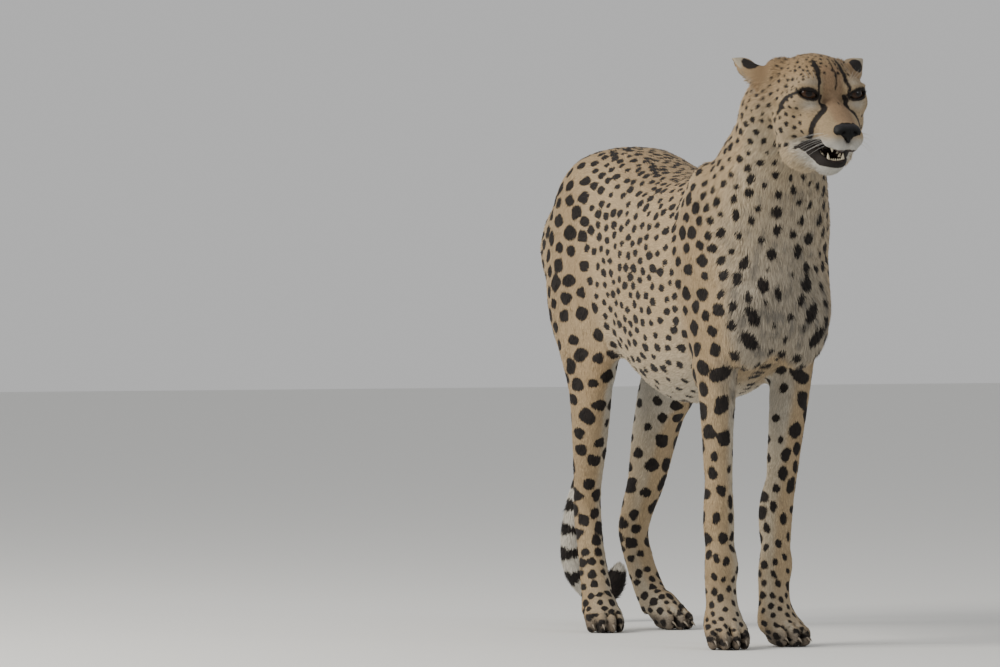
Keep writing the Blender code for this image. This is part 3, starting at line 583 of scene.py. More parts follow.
def ear_frame(side):
    """The ear's root in head millimetres, and its across, back and along ways as columns."""
    axis = on_side(side, EAR_AXIS)
    axis /= np.linalg.norm(axis)
    back = -on_side(side, EAR_OPENING)
    back -= axis * (back @ axis)
    back /= np.linalg.norm(back)
    return on_side(side, EAR_ROOT), np.stack([np.cross(back, axis), back, axis], axis=1)


def ear_skin(side):
    """A cup: rows from root to tip, half width times sqrt(1 - v^2.6), drawn in above towards the root,
    sunk across by 1 - u^2, as a closed shell whose wall thins to its edges."""
    rows, columns = 24, 25
    u, v = np.meshgrid(np.linspace(-1, 1, columns), np.linspace(-0.25, 1, rows))
    w = np.clip(v, 0, 1)
    half = EAR_HALF_WIDTH * np.sqrt(np.clip(1 - w**2.6, 0.01, 1)) * (1.10 - 0.20 * w)
    notch = (0.62 if side == RIGHT else 0.35) * ramp(u * side, 0.0, 0.3) * ramp(-w, -0.95, -0.45)
    x, z = u * half * (1 - notch), v * EAR_LENGTH * (1 - 0.10 * u**2)
    y = EAR_CUP * (1 - u**2) * (1 - 0.55 * w)
    wall = 1.7 + 1.5 * (1 - u**2) * (1 - 0.6 * w)
    sides = [np.stack([x, y + way * wall, z], -1).reshape(-1, 3) for way in (-1, 1)]
    root, turn = ear_frame(side)
    points = from_head(np.concatenate(sides) @ turn.T + root)
    i, j = np.meshgrid(np.arange(rows - 1), np.arange(columns - 1), indexing="ij")
    a = (i * columns + j).ravel()
    b, c, d = a + 1, a + columns + 1, a + columns
    sheet = np.concatenate([np.stack([a, b, c], -1), np.stack([a, c, d], -1)])
    count = rows * columns
    grid = np.arange(count).reshape(rows, columns)
    rim = np.concatenate([grid[0, :-1], grid[:-1, -1], grid[-1, :0:-1], grid[:0:-1, 0]])
    following = np.roll(rim, -1)
    walls = [(rim, rim + count, following + count), (rim, following + count, following)]
    walls = np.concatenate([np.stack(corners, -1) for corners in walls])
    return points, np.concatenate([sheet, sheet[:, ::-1] + count, walls])


def head_field(settings):
    """The head and the neck's top on a finer grid, with ears, lids, lips and mouth."""
    field = Field((-0.125, -0.645, 0.60), (0.135, -0.335, 0.90), settings.head_grid, 0.016)
    field.skin(*limb_skin(NECK, 56), 0.03)
    add_head(field)
    sink(field, settings)
    for side in (LEFT, RIGHT):
        field.skin(*ear_skin(side), 0.007)
    add_eyes_and_lids(field)
    open_mouth(field)
    add_face_detail(field)
    return field


def add_face_detail(field):
    """The split of the upper lip, and its full edge."""
    head_form(field, (0, -64, -68), (1.6, 8, 13), 0, 0, 2.5, True)
    for side in (LEFT, RIGHT):
        head_form(field, (side * 9, -52, -76), (9, 10, 9), 0, 0, 5)


def sink(field, settings):
    """Lowers the surface by the coat's depth, which is least on face and feet."""
    x, y, z = field.places()
    depth = np.full(field.value.shape, settings.coat_depth, np.float32)
    low = np.clip((z - 0.03) / 0.10, 0.15, 1)
    face = 1 - 0.75 * np.clip((-0.475 - y) / 0.05, 0, 1) * np.clip((z - 0.66) / 0.04, 0, 1)
    field.value += depth * low * face


NECK_SEAM = np.array([0.002, -0.395, 0.755])  # where the head's skin takes over from the body's
NECK_WAY = np.array([0.0, -0.72, 0.69])


def drop_past_seam(field, way):
    """Sinks the surface more and more past the seam, so that the other skin covers it."""
    x, y, z = field.places()
    past = (x - NECK_SEAM[0]) * NECK_WAY[0] + (y - NECK_SEAM[1]) * NECK_WAY[1] + (z - NECK_SEAM[2]) * NECK_WAY[2]
    field.value += np.clip(way * past, 0, 0.08).astype(np.float32) * 0.45


def apply_modifiers(obj):
    """Takes the mesh that the modifiers give in place of the object's own."""
    graph = bpy.context.evaluated_depsgraph_get()
    mesh = bpy.data.meshes.new_from_object(obj.evaluated_get(graph))
    obj.modifiers.clear()
    obj.data = mesh


def vertex_rows(mesh, value="co"):
    """The places of a mesh's vertices, or another value with three parts, as rows."""
    rows = np.empty(len(mesh.vertices) * 3, np.float32)
    mesh.vertices.foreach_get(value, rows)
    return rows.reshape(-1, 3)


def union(first, second):
    """One closed skin from two that overlap; the second goes away."""
    cut = first.modifiers.new("Union", "BOOLEAN")
    cut.operation, cut.solver, cut.object = "UNION", "MANIFOLD", second
    apply_modifiers(first)
    bpy.data.objects.remove(second)
    return first


def tree_of(points):
    """A search tree over points, whose numbers are their rows."""
    tree = KDTree(len(points))
    for i, point in enumerate(points.tolist()):
        tree.insert(point, i)
    tree.balance()
    return tree


def thin_out(obj, most, tree, attributes):
    """Collapses edges until few enough triangles are left, and paints them from the nearest points."""
    count = sum(len(p.vertices) - 2 for p in obj.data.polygons)
    if count > most:
        # Only the head's finer mesh is thinned.
        at_head = vertex_rows(obj.data) @ NECK_WAY > NECK_SEAM @ NECK_WAY + 0.006
        dense = obj.vertex_groups.new(name="dense")
        dense.add(np.flatnonzero(at_head).tolist(), 1.0, "REPLACE")
        cut = obj.modifiers.new("Thin", "DECIMATE")
        cut.ratio, cut.vertex_group = most / count, dense.name
        apply_modifiers(obj)
        obj.vertex_groups.clear()
    obj.data.shade_smooth()
    nearest = np.array([tree.find(place)[1] for place in vertex_rows(obj.data).tolist()])
    for name, values in attributes.items():
        paint(obj, name, values[nearest])


def flat_soles(points):
    """Nothing goes below the floor: the soles are pressed flat on it."""
    points[:, 2] = np.maximum(points[:, 2], SOLE_HEIGHT)
    return points


def mesh_arrays(obj):
    """Points, normals and triangles of a mesh."""
    mesh = obj.data
    points, normals = vertex_rows(mesh).astype(float), vertex_rows(mesh, "normal").astype(float)
    mesh.calc_loop_triangles()
    triangles = np.empty(len(mesh.loop_triangles) * 3, np.int32)
    mesh.loop_triangles.foreach_get("vertices", triangles)
    return points, normals, triangles.reshape(-1, 3)


def body_and_head_skin(settings):
    """The two skins, each sunk where the other covers it, made one."""
    body = body_field(settings)
    sink(body, settings)
    drop_past_seam(body, 1)
    points, quads = body.surface()
    lower = mesh_object("skin", flat_soles(points), quads)
    head = head_field(settings)
    drop_past_seam(head, -1)
    points, quads = head.surface()
    upper = mesh_object("head_skin", points, quads)
    return union(lower, upper)


# ---------------------------------------------------------------- the lie of the coat

# A spine runs the way that the hair lies. Each region has its spine and the radius of what it rules.
SPINES = {
    "face": (
        ((0.004, -0.600, 0.755), (0.004, -0.560, 0.800), (0.004, -0.500, 0.820), (0.0, -0.445, 0.800)),
        0.100,
    ),
    "neck": (
        ((0.0, -0.440, 0.780), (-0.010, -0.380, 0.730), (-0.004, -0.320, 0.660), (0, -0.24, 0.56)),
        0.095,
    ),
    "breast": (
        ((0.0, -0.380, 0.640), (0.0, -0.365, 0.560), (0.0, -0.345, 0.480), (0, -0.300, 0.400)),
        0.085,
    ),
    "trunk": (
        ((0, -0.200, 0.560), (0, -0.06, 0.545), (0, 0.10, 0.555), (0, 0.25, 0.590), (0, 0.38, 0.600)),
        0.130,
    ),
    "tail": (tuple(row[:3] for row in TAIL[1:]), 0.024),
}


def leg_spine(stations, kind, side, *top):
    """Down the outer side of a leg and out to the end of its toes."""
    x, y, turn = PAWS[kind, side]
    toe = (side * (x + 0.05 * math.sin(math.radians(turn))), y - 0.05, 0.015)
    return *top, *((side * (row[0] + 0.008), *row[1:3]) for row in stations), toe


for _side in (LEFT, RIGHT):
    _name, _top = SIDE_NAMES[_side], (_side * 0.080, -0.225, 0.600)
    SPINES["foreleg_" + _name] = (leg_spine(FORELEG[_side], "fore", _side, _top), 0.042)
    SPINES["hindleg_" + _name] = (leg_spine(HINDLEG[_side], "hind", _side), 0.048)


def along_spine(name, points):
    """For each point: its distance from the spine, the share of the way along it, the spine's
    direction there and the point's angle round it."""
    stations, _ = SPINES[name]
    line = smooth_through(stations, 5)
    way = unit(np.gradient(line, axis=0))
    gap = points[:, None, :] - line[None]
    reach = np.sqrt((gap**2).sum(-1))
    nearest = reach.argmin(1)
    length = np.concatenate([[0], np.cumsum(np.linalg.norm(np.diff(line, axis=0), axis=1))])
    offset = points - line[nearest]
    step = (offset * way[nearest]).sum(1)
    share = np.clip((length[nearest] + step) / length[-1], 0, 1)
    side = unit(np.array([1.0, 0, 0]) - way * way[:, :1], 1e-9)
    third = np.cross(way, side)
    angle = np.arctan2((offset * third[nearest]).sum(1), (offset * side[nearest]).sum(1))
    return reach.min(1), share, way[nearest], angle


def ramp(value, start, end):
    """0 before start, 1 after end, smooth between."""
    t = np.clip((value - start) / (end - start), 0, 1)
    return t * t * (3 - 2 * t)


def ripple(points, scale, seed):
    """Smooth noise from -1 to 1: a sum of sines in seeded directions."""
    rng = np.random.default_rng(seed)
    total = np.zeros(len(points))
    for _ in range(7):
        way = rng.normal(size=3)
        way *= rng.uniform(0.6, 1.7) * 2 * math.pi / scale / np.linalg.norm(way)
        total += np.sin(points @ way + rng.uniform(0, 6.3))
    return total / 3.2


def region_shares(points):
    """How much each spine rules each point, the way the hair lies, and the place along each spine."""
    power, ways, places = [], [], {}
    for name, (_, radius) in SPINES.items():
        reach, share, way, angle = along_spine(name, points)
        places[name] = (share, angle)
        width = np.full(len(points), radius)
        z = points[:, 2]
        if name.startswith("foreleg"):
            width = radius + 0.022 * ramp(z, 0.36, 0.48) - 0.012 * ramp(z, 0.30, 0.10)
        if name.startswith("hindleg"):
            width = radius + 0.055 * ramp(z, 0.34, 0.50) - 0.020 * ramp(z, 0.30, 0.14)
        power.append(np.exp(-3.5 * (reach / width) ** 2) + 1e-12)
        ways.append(way)
    power = np.array(power)
    power[0] *= ramp(-points[:, 1], 0.395, 0.425) * ramp(points[:, 2], 0.66, 0.70) + 1e-9
    shares = power / power.sum(0)
    way = sum(share[:, None] * direction for share, direction in zip(shares, ways))
    return dict(zip(SPINES, shares)), way, places


# For each region: the hair's length, how much it stands off in degrees, the spacing of the spots,
# their size as a share of that, and how much they are drawn out along the hair.
NATURES = {
    "face": (0.0048, 9, 0.0072, 0.315, 1.15),
    "neck": (0.0115, 10, 0.0155, 0.365, 1.08),
    "breast": (0.0150, 10, 0.0225, 0.385, 1.15),
    "trunk": (0.0090, 8, 0.0150, 0.415, 1.08),
    "tail": (0.0120, 12, 0.0240, 0.36, 1.0),
    "foreleg": (0.0076, 8, 0.0196, 0.43, 1.15),
    "hindleg": (0.0082, 8, 0.0236, 0.460, 1.02),
}


def nature(shares, column):
    """One column of NATURES at each point, its regions' values weighed by their shares."""
    return sum(share * NATURES[name.split("_")[0]][column] for name, share in shares.items())


def lie_of_coat(points, normals):
    """Direction, length and stand-off of the hair at each point of the skin."""
    shares, way, places = region_shares(points)
    head = to_head(points)
    front = shares["face"] * ramp(-head[:, 1], -60, 10)
    nose = np.array([0, -62.0, -48.0])
    radial = unit((head - nose) * (1, 1, 1.1), 1e-9)
    way = way * (1 - front)[:, None] + front[:, None] * (radial @ HEAD_AXES.T)
    ears = np.clip(np.abs(head[:, 0]) - 52, 0, 12) / 12 * ramp(head[:, 2], 16, 30) * (head[:, 1] > 70)
    for side in (LEFT, RIGHT):
        axis = HEAD_AXES @ on_side(side, EAR_AXIS)
        rule = ears * (head[:, 0] * side > 0)
        way = way * (1 - rule)[:, None] + rule[:, None] * axis
    way = way + 0.13 * np.stack([ripple(points, 0.06, seed) for seed in (1, 2, 3)], axis=1)
    way = unit(way - normals * (way * normals).sum(1)[:, None], 1e-9)
    length, lift = nature(shares, 0), nature(shares, 1)
    z = points[:, 2]
    under = ramp(-normals[:, 2], 0.15, 0.8) * shares["trunk"]
    length = length * (1 + 0.30 * under) + 0.002 * ramp(normals[:, 2], 0.5, 0.9) * shares["trunk"]
    lift = lift + 2 * under
    legs = sum(shares[name] for name in shares if "leg" in name)
    back = ramp(head[:, 1], 8, 75) * shares["face"]
    low = ramp(-head[:, 2], 60, 92) * shares["face"] * ramp(head[:, 1], -20, 20)
    length = length * (1 - legs * (0.42 * ramp(-z, -0.16, -0.03))) + back * 0.0045 + low * 0.007
    by_nose = ramp(-head[:, 1], 20, 48) * shares["face"]
    by_lip = 0.62 * shares["face"] * ramp(lip_mark(head), -0.010, 0.001)
    length = length * (1 - 0.45 * by_nose) * (1 - by_lip) * (1 - 0.55 * ears)
    return shares, places, way, length, (lift + low * 8) * (1 - 0.7 * ears)


# ---------------------------------------------------------------- the markings

TAN, WARM = (0.50, 0.375, 0.225), (0.43, 0.290, 0.155)
# CHEST_GREY_AND_SHADE is the breast's own grey with painted shade in it.
PALE, WHITE, CHEST_GREY_AND_SHADE = (0.57, 0.49, 0.365), (0.66, 0.635, 0.57), (0.35, 0.335, 0.295)
# GRIZZLE_AND_SHADE: dark streaks of the hair, strengthened at the throat as painted shade.
GRIZZLE_AND_SHADE, BRIDGE, NEAR_FLOOR_DARK = (0.14, 0.13, 0.115), (0.40, 0.26, 0.155), (0.16, 0.13, 0.105)
EAR_ROOT_TONE, NAPE_TONE, EAR_INSIDE = (0.30, 0.19, 0.10), (0.30, 0.20, 0.11), (0.36, 0.28, 0.19)
LEAST_SPOT = 0.0011

# Large marks: how many on each side, the height of the first and the step down to the next.
BREAST_MARKS, BREAST_TOP, BREAST_STEP = 4, 0.58, 0.043
BAR_MARKS, BAR_TOP, BAR_STEP = 3, 0.40, 0.045


def bold_marks():
    """Rows of place, radius, drawing out and turn from the hair in degrees. Marks run down each side of
    the breast, the k-th 0.020 + 0.013 k out, growing and turning by equal steps. Bars lie over the front
    of each upper foreleg, the k-th turned by 60 - 30 k. A seeded shift keeps the sides unlike."""
    rng = np.random.default_rng(12)
    rows = []
    for side in (LEFT, RIGHT):
        for k in range(BREAST_MARKS):
            place = np.array([side * (0.020 + 0.013 * k), -0.36, BREAST_TOP - BREAST_STEP * k])
            place = place + rng.normal(size=3) * 0.004
            rows.append((*place, 0.0085 + 0.0013 * k, 1.2 + 0.1 * k, -side * 18 * k))
        for k in range(BAR_MARKS):
            place = leg_point(FORELEG[side], side, BAR_TOP - BAR_STEP * k) + (side * 0.01, -0.05, 0)
            place = place + rng.normal(size=3) * 0.005
            rows.append((*place, 0.0130 - 0.0008 * k, 1.5 - 0.2 * k, side * (60 - 30 * k)))
    return np.array(rows)


def spot_seeds(points, way, spacing, stretch, squeeze, tree, bold, seed=7):
    """Seeded darts: a point is kept if no kept one is within its own spacing, which is longer along
    the hair. The bold marks come first and keep their room."""
    rng = np.random.default_rng(seed)
    free = np.ones(len(points), bool)
    for x, y, z, radius in bold[:, :4].tolist():
        i = tree.find((x, y, z))[1]
        for _, j, _ in tree.find_range(points[i].tolist(), radius + 0.62 * float(spacing[i])):
            free[j] = False
    kept = []
    for i in rng.permutation(len(points)).tolist():
        if not free[i]:
            continue
        kept.append(i)
        reach = float(spacing[i] * stretch[i] / squeeze[i])
        near = np.array([j for _, j, _ in tree.find_range(points[i].tolist(), reach)])
        offset = points[near] - points[i]
        offset[:, 1] *= squeeze[i]
        along = offset @ way[i]
        gap = (offset**2).sum(1) - along**2 * (1 - 1 / stretch[i] ** 2)
        free[near[gap < spacing[i] ** 2]] = False
    return np.array(kept)


def spot_inside(which, places):
    """How far places lie inside the spots with these numbers, in metres, below zero outside: the
    radius, drawn out along the hair and waved round its edge, less the distance."""
    spots = made["spots"]
    normal, way, turn, stretch = (spots[name][which] for name in ("normal", "way", "turn", "drawn"))
    offset = places - spots["place"][which]
    offset[:, 1] *= spots["squeeze"][which]
    offset -= normal * (offset * normal).sum(1)[:, None] * 0.7
    along = (offset * way).sum(1)
    across = (offset * np.cross(normal, way)).sum(1)
    u = along * np.cos(turn) + across * np.sin(turn)
    v = across * np.cos(turn) - along * np.sin(turn)
    w2 = np.maximum((offset**2).sum(1) - u**2 - v**2, 0)
    angle = np.arctan2(v, u)
    waves, phases = spots["waves"][which], spots["phases"][which]
    edge = 1 + sum(waves[:, k] * np.sin((k + 2) * angle + phases[:, k]) for k in range(3))
    return spots["radius"][which] * edge - np.sqrt((u / stretch) ** 2 + (v * stretch**0.5) ** 2 + w2)


def spot_marks(points, tree, seeds):
    """For each point the most that it lies inside any spot, and the number of that spot."""
    at, size = [], []
    reach = made["spots"]["radius"] * 2.6 + 0.004
    for s, i in enumerate(seeds.tolist()):
        found = [j for _, j, _ in tree.find_range(points[i].tolist(), float(reach[s]))]
        at += found
        size += [s] * len(found)
    at, size = np.array(at), np.array(size)
    inside = spot_inside(size, points[at])
    order = np.argsort(inside)
    mark, rule = np.full(len(points), NO_MARK), np.full(len(points), -1)
    mark[at[order]], rule[at[order]] = np.maximum(inside[order], NO_MARK), size[order]
    return mark, rule


def line_mark(points, line, widths):
    """How far each point lies inside a line drawn through space, whose half width changes along it."""
    line, widths = np.asarray(line, float), np.asarray(widths, float)
    best = np.full(len(points), NO_MARK)
    for a, b, wa, wb in zip(line[:-1], line[1:], widths[:-1], widths[1:]):
        t = np.clip(((points - a) @ (b - a)) / ((b - a) @ (b - a) + 1e-12), 0, 1)
        distance = np.linalg.norm(points - a - t[:, None] * (b - a), axis=1)
        best = np.maximum(best, wa + (wb - wa) * t - distance)
    return best


def ear_place(head):
    """For each point, in head millimetres: whether it is on an ear, the share of the way to its tip,
    the place across and how far to the back of the cup."""
    on = np.zeros(len(head))
    along, across, behind = np.zeros(len(head)), np.zeros(len(head)), np.zeros(len(head))
    for side in (LEFT, RIGHT):
        root, turn = ear_frame(side)
        local = (head - root) @ turn
        v = local[:, 2] / EAR_LENGTH
        here = (v > 0.02) & (np.abs(local[:, 0]) < 30) & (local[:, 1] > -14) & (local[:, 1] < 26)
        here &= np.abs(head[:, 0]) > 56
        on[here] = ramp(v[here], 0.02, 0.22)
        along[here], across[here] = v[here], local[here, 0] / EAR_HALF_WIDTH
        sunk = EAR_CUP * (1 - across[here] ** 2) * (1 - 0.55 * np.clip(v[here], 0, 1))
        behind[here] = local[here, 1] - sunk
    return on, along, across, behind


# Lines on the face in head millimetres, outward first, and their half widths.
TEAR = (
    (
        (18, -4, -4), (18, -10, -12), (19, -18, -24), (25, -18, -33),
        (30, -14, -42), (33, -10, -52), (35, -4, -62), (36, 4, -70),
    ),
    (3.2, 4.2, 5.0, 5.2, 4.9, 4.4, 4.2, 4.6),
)
BROW_STREAK = (
    ((19, 26, 50), (20, 10, 41), (21, -5, 29), (19, -18, 15), (16, -23, 4), (17, -19, -6)),
    (2.0, 4.0, 3.3, 2.6, 2.3, 3.0),
)
MIDDLE_STREAK = (
    ((5, 20, 48), (5, 6, 38), (6, -10, 24), (6, -22, 8), (6, -28, -6)),
    (0.8, 1.3, 1.5, 1.3, 0.8),
)
CHEEK_LINE = (
    ((50, -4, 3), (56, 8, -2), (60, 20, -8), (62, 32, -18), (60, 44, -30)),
    (3.4, 2.8, 4.0, 5.2, 3.0),
)


def snapped(line, side, tree, points):
    """A line in head millimetres and its half widths, for one side, laid on the skin in short steps."""
    rows = smooth_through([(side * x, y, z, w) for (x, y, z), w in zip(*line)], 5)
    places = from_head(rows[:, :3])
    return np.array([points[tree.find(p.tolist())[1]] for p in places]), rows[:, 3] * 0.001


def face_marks(points, head, tree):
    """Tear lines, brow streaks, cheek lines, dark lids and lips: metres inside the mark."""
    mark = np.full(len(points), NO_MARK)
    for side in (LEFT, RIGHT):
        for line in (TEAR, BROW_STREAK, CHEEK_LINE):
            mark = np.maximum(mark, line_mark(points, *snapped(line, side, tree, points)))
        front = gaze_front(side) * EYE_RADIUS * 1000
        lens = head - (0, 0, -0.7) - np.array([side * EYE_ACROSS, EYE_BACK, -0.5]) - front
        lens = lens @ turned(0, -side * 14, side * GAZE_OUT)
        rim = 1 - np.sqrt((lens[:, 0] / 17.5) ** 2 + (lens[:, 2] / np.where(lens[:, 2] > 0, 10.3, 9.4)) ** 2)
        close = (from_eye(head, side) < EYE_RADIUS * 1000 + 7) & (head[:, 1] < 10)
        mark = np.maximum(mark, np.where(close, rim * 0.009, NO_MARK))
    mark = np.maximum(mark, line_mark(points, *snapped(MIDDLE_STREAK, LEFT, tree, points)))
    mark = np.where(nose_share(head) > 0, 0.01, mark)
    return np.maximum(mark, lip_mark(head))


def mouth_wedge(head):
    """The share of the way from the mouth's corner to its front, and the wedge's top and bottom there."""
    back, height = MOUTH_CORNER
    share = np.clip((back - head[:, 1]) / (back - MOUTH_FRONT), 0, 1)
    return share, height + (LIP_LINE - height) * share, height + (LIP_LINE - MOUTH_OPEN - height) * share


def lip_mark(head):
    """Dark skin of the lips: how far a point lies within the band round the mouth's wedge."""
    back = MOUTH_CORNER[0]
    share, top, bottom = mouth_wedge(head)
    above = np.interp(share, (0, 0.15, 0.29, 0.40), (5.0, 7.0, 5.0, -0.8))
    below = np.interp(share, (0, 0.15, 0.29, 0.40), (14, 22, 15, 11))
    past = np.clip((head[:, 1] - back + 5) / 14, 0, 1)
    above, below = above - 9 * (1 - np.sqrt(1 - past**2)), below - 12 * (1 - np.sqrt(1 - past**2))
    inside = np.minimum(top + above - head[:, 2], head[:, 2] - (bottom - below))
    inside = np.minimum(inside, (back + 9 - head[:, 1]) * 0.8)
    inside = np.minimum(inside, 47 - np.abs(head[:, 0]))
    return inside * 0.001


def mixed(colours, colour, share):
    """Each colour moved towards one colour by its share, kept within 0 and 1."""
    return colours + (np.asarray(colour) - colours) * np.clip(share, 0, 1)[:, None]


def skin_places(points, normals, shares, along):
    """What the rules of the markings read at each point: its place, how it faces and its regions."""
    x, y, z = points.T
    head = to_head(points)
    legs = sum(shares[name] for name in shares if "leg" in name)
    midline = np.where(np.abs(x) < 1e-4, 1.0, np.sign(x))
    regions = {name: shares[name] for name in ("face", "neck", "breast", "trunk", "tail")}
    return SimpleNamespace(
        points=points, normals=normals, x=x, z=z, head=head, legs=legs, along=along, **regions,
        fore=legs - (shares["hindleg_left"] + shares["hindleg_right"]),
        under=ramp(-normals[:, 2], 0.25, 0.8),
        top=ramp(normals[:, 2], 0.35, 0.85) * shares["trunk"],
        inner=ramp(-normals[:, 0] * midline, 0.15, 0.65) * legs * ramp(np.abs(x), 0.005, 0.03),
        chin=shares["face"] * ramp(-head[:, 2], 74, 92),
    )


def spot_plan(at, shares):
    """The spacing of the spots, their size as a share of it, how far they are drawn out along the
    hair, and the squeeze that makes them longer along the body on its sides."""
    head, z, face, fore = at.head, at.z, at.face, at.fore
    spacing, share, drawn = nature(shares, 2), nature(shares, 3), nature(shares, 4)
    spacing = spacing * (1 + 0.30 * at.under * at.trunk)
    spacing = spacing * (1 - 0.46 * at.legs * ramp(-z, -0.24, -0.04)) * (1 - 0.08 * at.top)
    spacing = spacing * (1 + 0.25 * fore * ramp(z, 0.27, 0.36) * ramp(-z, -0.50, -0.44))
    drawn = drawn + 0.15 * at.top + 0.10 * fore * ramp(-z, -0.42, -0.30)
    behind_jaw = face * ramp(head[:, 1], 25, 70) * ramp(-head[:, 2], 20, 50)
    spacing = spacing * (1 + 0.40 * behind_jaw)
    spacing = spacing * (1 + 0.35 * face * ramp(-head[:, 2], 0, 40))
    nape = ramp(-head[:, 1], -150, -100) * ramp(head[:, 2], -65, -30) * (1 - face)
    spacing, share = spacing + (0.0095 - spacing) * nape, share + (0.28 - share) * nape
    return spacing, share, drawn, 1 - 0.44 * at.normals[:, 0] ** 2 * (1 - face)


def lay_spots(at, shares, way, tree):
    """Lays the spots out, keeps them in made, and gives how far each point lies inside one and which."""
    spacing, share, drawn, squeeze = spot_plan(at, shares)
    bold = bold_marks()
    order = spot_seeds(at.points, way, spacing, drawn, squeeze, tree, bold)

    # Where spots thin out: inside of the legs, throat, middle of the chest and lower belly.
    facing = ramp(-at.normals[:, 1], 0.5, 0.92) * ramp(-np.abs(at.x), -0.080, -0.035)
    thin = 0.0035 * at.inner * ramp(at.z, 0.18, 0.30) + 0.0028 * ramp(at.under, 0.5, 1) * at.trunk
    share = share + 0.07 * at.top
    thin = thin + 0.0012 * (at.neck + at.breast) * facing * ramp(at.z, 0.62, 0.68)
    thin = thin + 0.0030 * at.breast * facing * ramp(at.z, 0.40, 0.44) * ramp(-at.z, -0.61, -0.57)
    rng = np.random.default_rng(5)
    size = spacing[order] * share[order] * rng.uniform(0.74, 1.20, len(order)) - thin[order]
    stretch = drawn[order] * rng.uniform(0.88, 1.15, len(order))
    seen = size > LEAST_SPOT
    order, size, stretch = order[seen], size[seen], stretch[seen]
    order = np.concatenate([order, [tree.find(place)[1] for place in bold[:, :3].tolist()]])
    size, stretch = np.concatenate([size, bold[:, 3]]), np.concatenate([stretch, bold[:, 4]])
    turns = np.concatenate([rng.normal(size=len(order) - len(bold)) * 0.25, np.radians(bold[:, 5])])
    count = len(order)
    made["spots"] = {
        "place": at.points[order], "normal": at.normals[order], "way": way[order], "radius": size,
        "drawn": stretch, "turn": turns, "squeeze": squeeze[order],
        "waves": rng.uniform(0.01, 0.095, (count, 3)), "phases": rng.uniform(0, 6.3, (count, 3)),
    }
    return spot_marks(at.points, tree, order)


def tail_rings(at, marks):
    """Bands 46 mm apart where the tail ends, narrower in front, and its dark last part."""
    along = at.along
    ring = 0.0125 - np.abs((along * 0.93 / 0.046 + 0.25) % 1 - 0.5) * 0.046
    ring = ring - 0.004 * ramp(-at.normals[:, 1], 0.3, 0.95)
    ends = at.tail * ramp(along, 0.52, 0.56) * ramp(-along, -0.972, -0.962)
    marks = np.where(ends > 0.5, ring, marks)
    dark_end = np.minimum(along - 0.925, 0.985 - along) * 0.9
    return np.where((at.tail > 0.5) & (along > 0.90), dark_end, marks)


def body_tones(at):
    """Rows of a colour and how much of it is laid over the tan at each point of the body."""
    x, z, legs, neck, breast, trunk = at.x, at.z, at.legs, at.neck, at.breast, at.trunk
    front, down, up = -at.normals[:, 1], -at.normals[:, 2], at.normals[:, 2]
    patch = ripple(at.points, 0.16, 21)
    grizzle_and_shade = ramp(ripple(at.points * (1, 1, 0.45), 0.014, 77), 0.25, 0.9)
    return (
        (WARM, 0.35 * legs * ramp(np.abs(x), 0.05, 0.10) + 0.12 * patch),
        (WARM, 0.45 * (at.top + neck * ramp(up, 0.1, 0.7))),
        (PALE, 0.6 * trunk * ramp(down, 0.0, 0.6)),
        (WHITE, 0.3 * trunk * ramp(down, 0.5, 0.95)),
        (PALE, 0.9 * at.inner),
        (WHITE, 0.75 * at.inner * ramp(z, 0.25, 0.40)),
        # The breast's front: partly the fur's own grey, partly painted shade.
        (CHEST_GREY_AND_SHADE, 0.65 * breast * ramp(front, 0.2, 0.8)),
        # Dark streaks on throat and breast: partly the hair's own grizzle, partly painted shade under the head.
        (GRIZZLE_AND_SHADE, 0.70 * grizzle_and_shade * (breast + 0.8 * neck) * ramp(front, 0.1, 0.7)),
        (PALE, 0.60 * neck * ramp(front, 0.0, 0.7)),
        (WHITE, 0.85 * at.tail * ramp(at.along, 0.45, 0.60)),
        (WHITE, 0.75 * legs * ramp(-z, -0.12, -0.03) * ramp(front, 0.1, 0.8) * 0.3),
    )


def face_tones(at):
    """Rows as body_tones gives, for the face: warm crown and bridge, pale round the eyes, white lips."""
    head, face = at.head, at.face
    out, y, z = np.abs(head[:, 0]), head[:, 1], head[:, 2]
    below = face * np.exp(-(((out - 37) / 13) ** 2) - ((z + 16) / 8) ** 2) * (y < 30)
    above = face * np.exp(-(((out - 32) / 13) ** 2) - ((z - 15) / 6) ** 2) * (y < 30)
    return (
        (WARM, 0.75 * (face * ramp(z, 5, 35))),
        (WARM, 0.65 * face * ramp(y, 25, 60) * ramp(z, -30, 5)),
        (BRIDGE, 0.8 * (face * ramp(-out, -19, -11) * ramp(-y, -20, 0) * ramp(z, -52, -40))),
        (WHITE, 0.9 * (face * ramp(-y, -4, 26) * ramp(-z, 58, 72))),
        (WHITE, 0.95 * at.chin * ramp(-y, -32, -6)),
        (WHITE, 0.6 * below + 0.35 * above),
        (WHITE, face * ramp(lip_mark(head), -0.011, -0.006) * ramp(-z, 60, 70)),
        (PALE, 0.7 * face * ramp(y, 0, 40) * ramp(-z, 30, 62)),
    )


def ear_tones(at, ear):
    """Rows as body_tones gives, for the ears: dark roots, pale tips and rims, and tan inside the cup."""
    on, v, u, behind = ear
    round_root = at.face * ramp(at.head[:, 1], 45, 80) * ramp(at.head[:, 2], -25, 0)
    return (
        (EAR_ROOT_TONE, 0.7 * on * ramp(-v, -0.62, -0.30)),
        (NAPE_TONE, 0.5 * round_root * (1 - on)),
        (PALE, on * (behind > 0) * ramp(v, 0.66, 0.80)),
        (WHITE, 0.8 * on * ramp(np.abs(u), 0.72, 0.92) * ramp(v, 0.30, 0.60)),
        (EAR_INSIDE, 0.85 * on * (behind < 0) * ramp(-v, -0.85, -0.55)),
    )


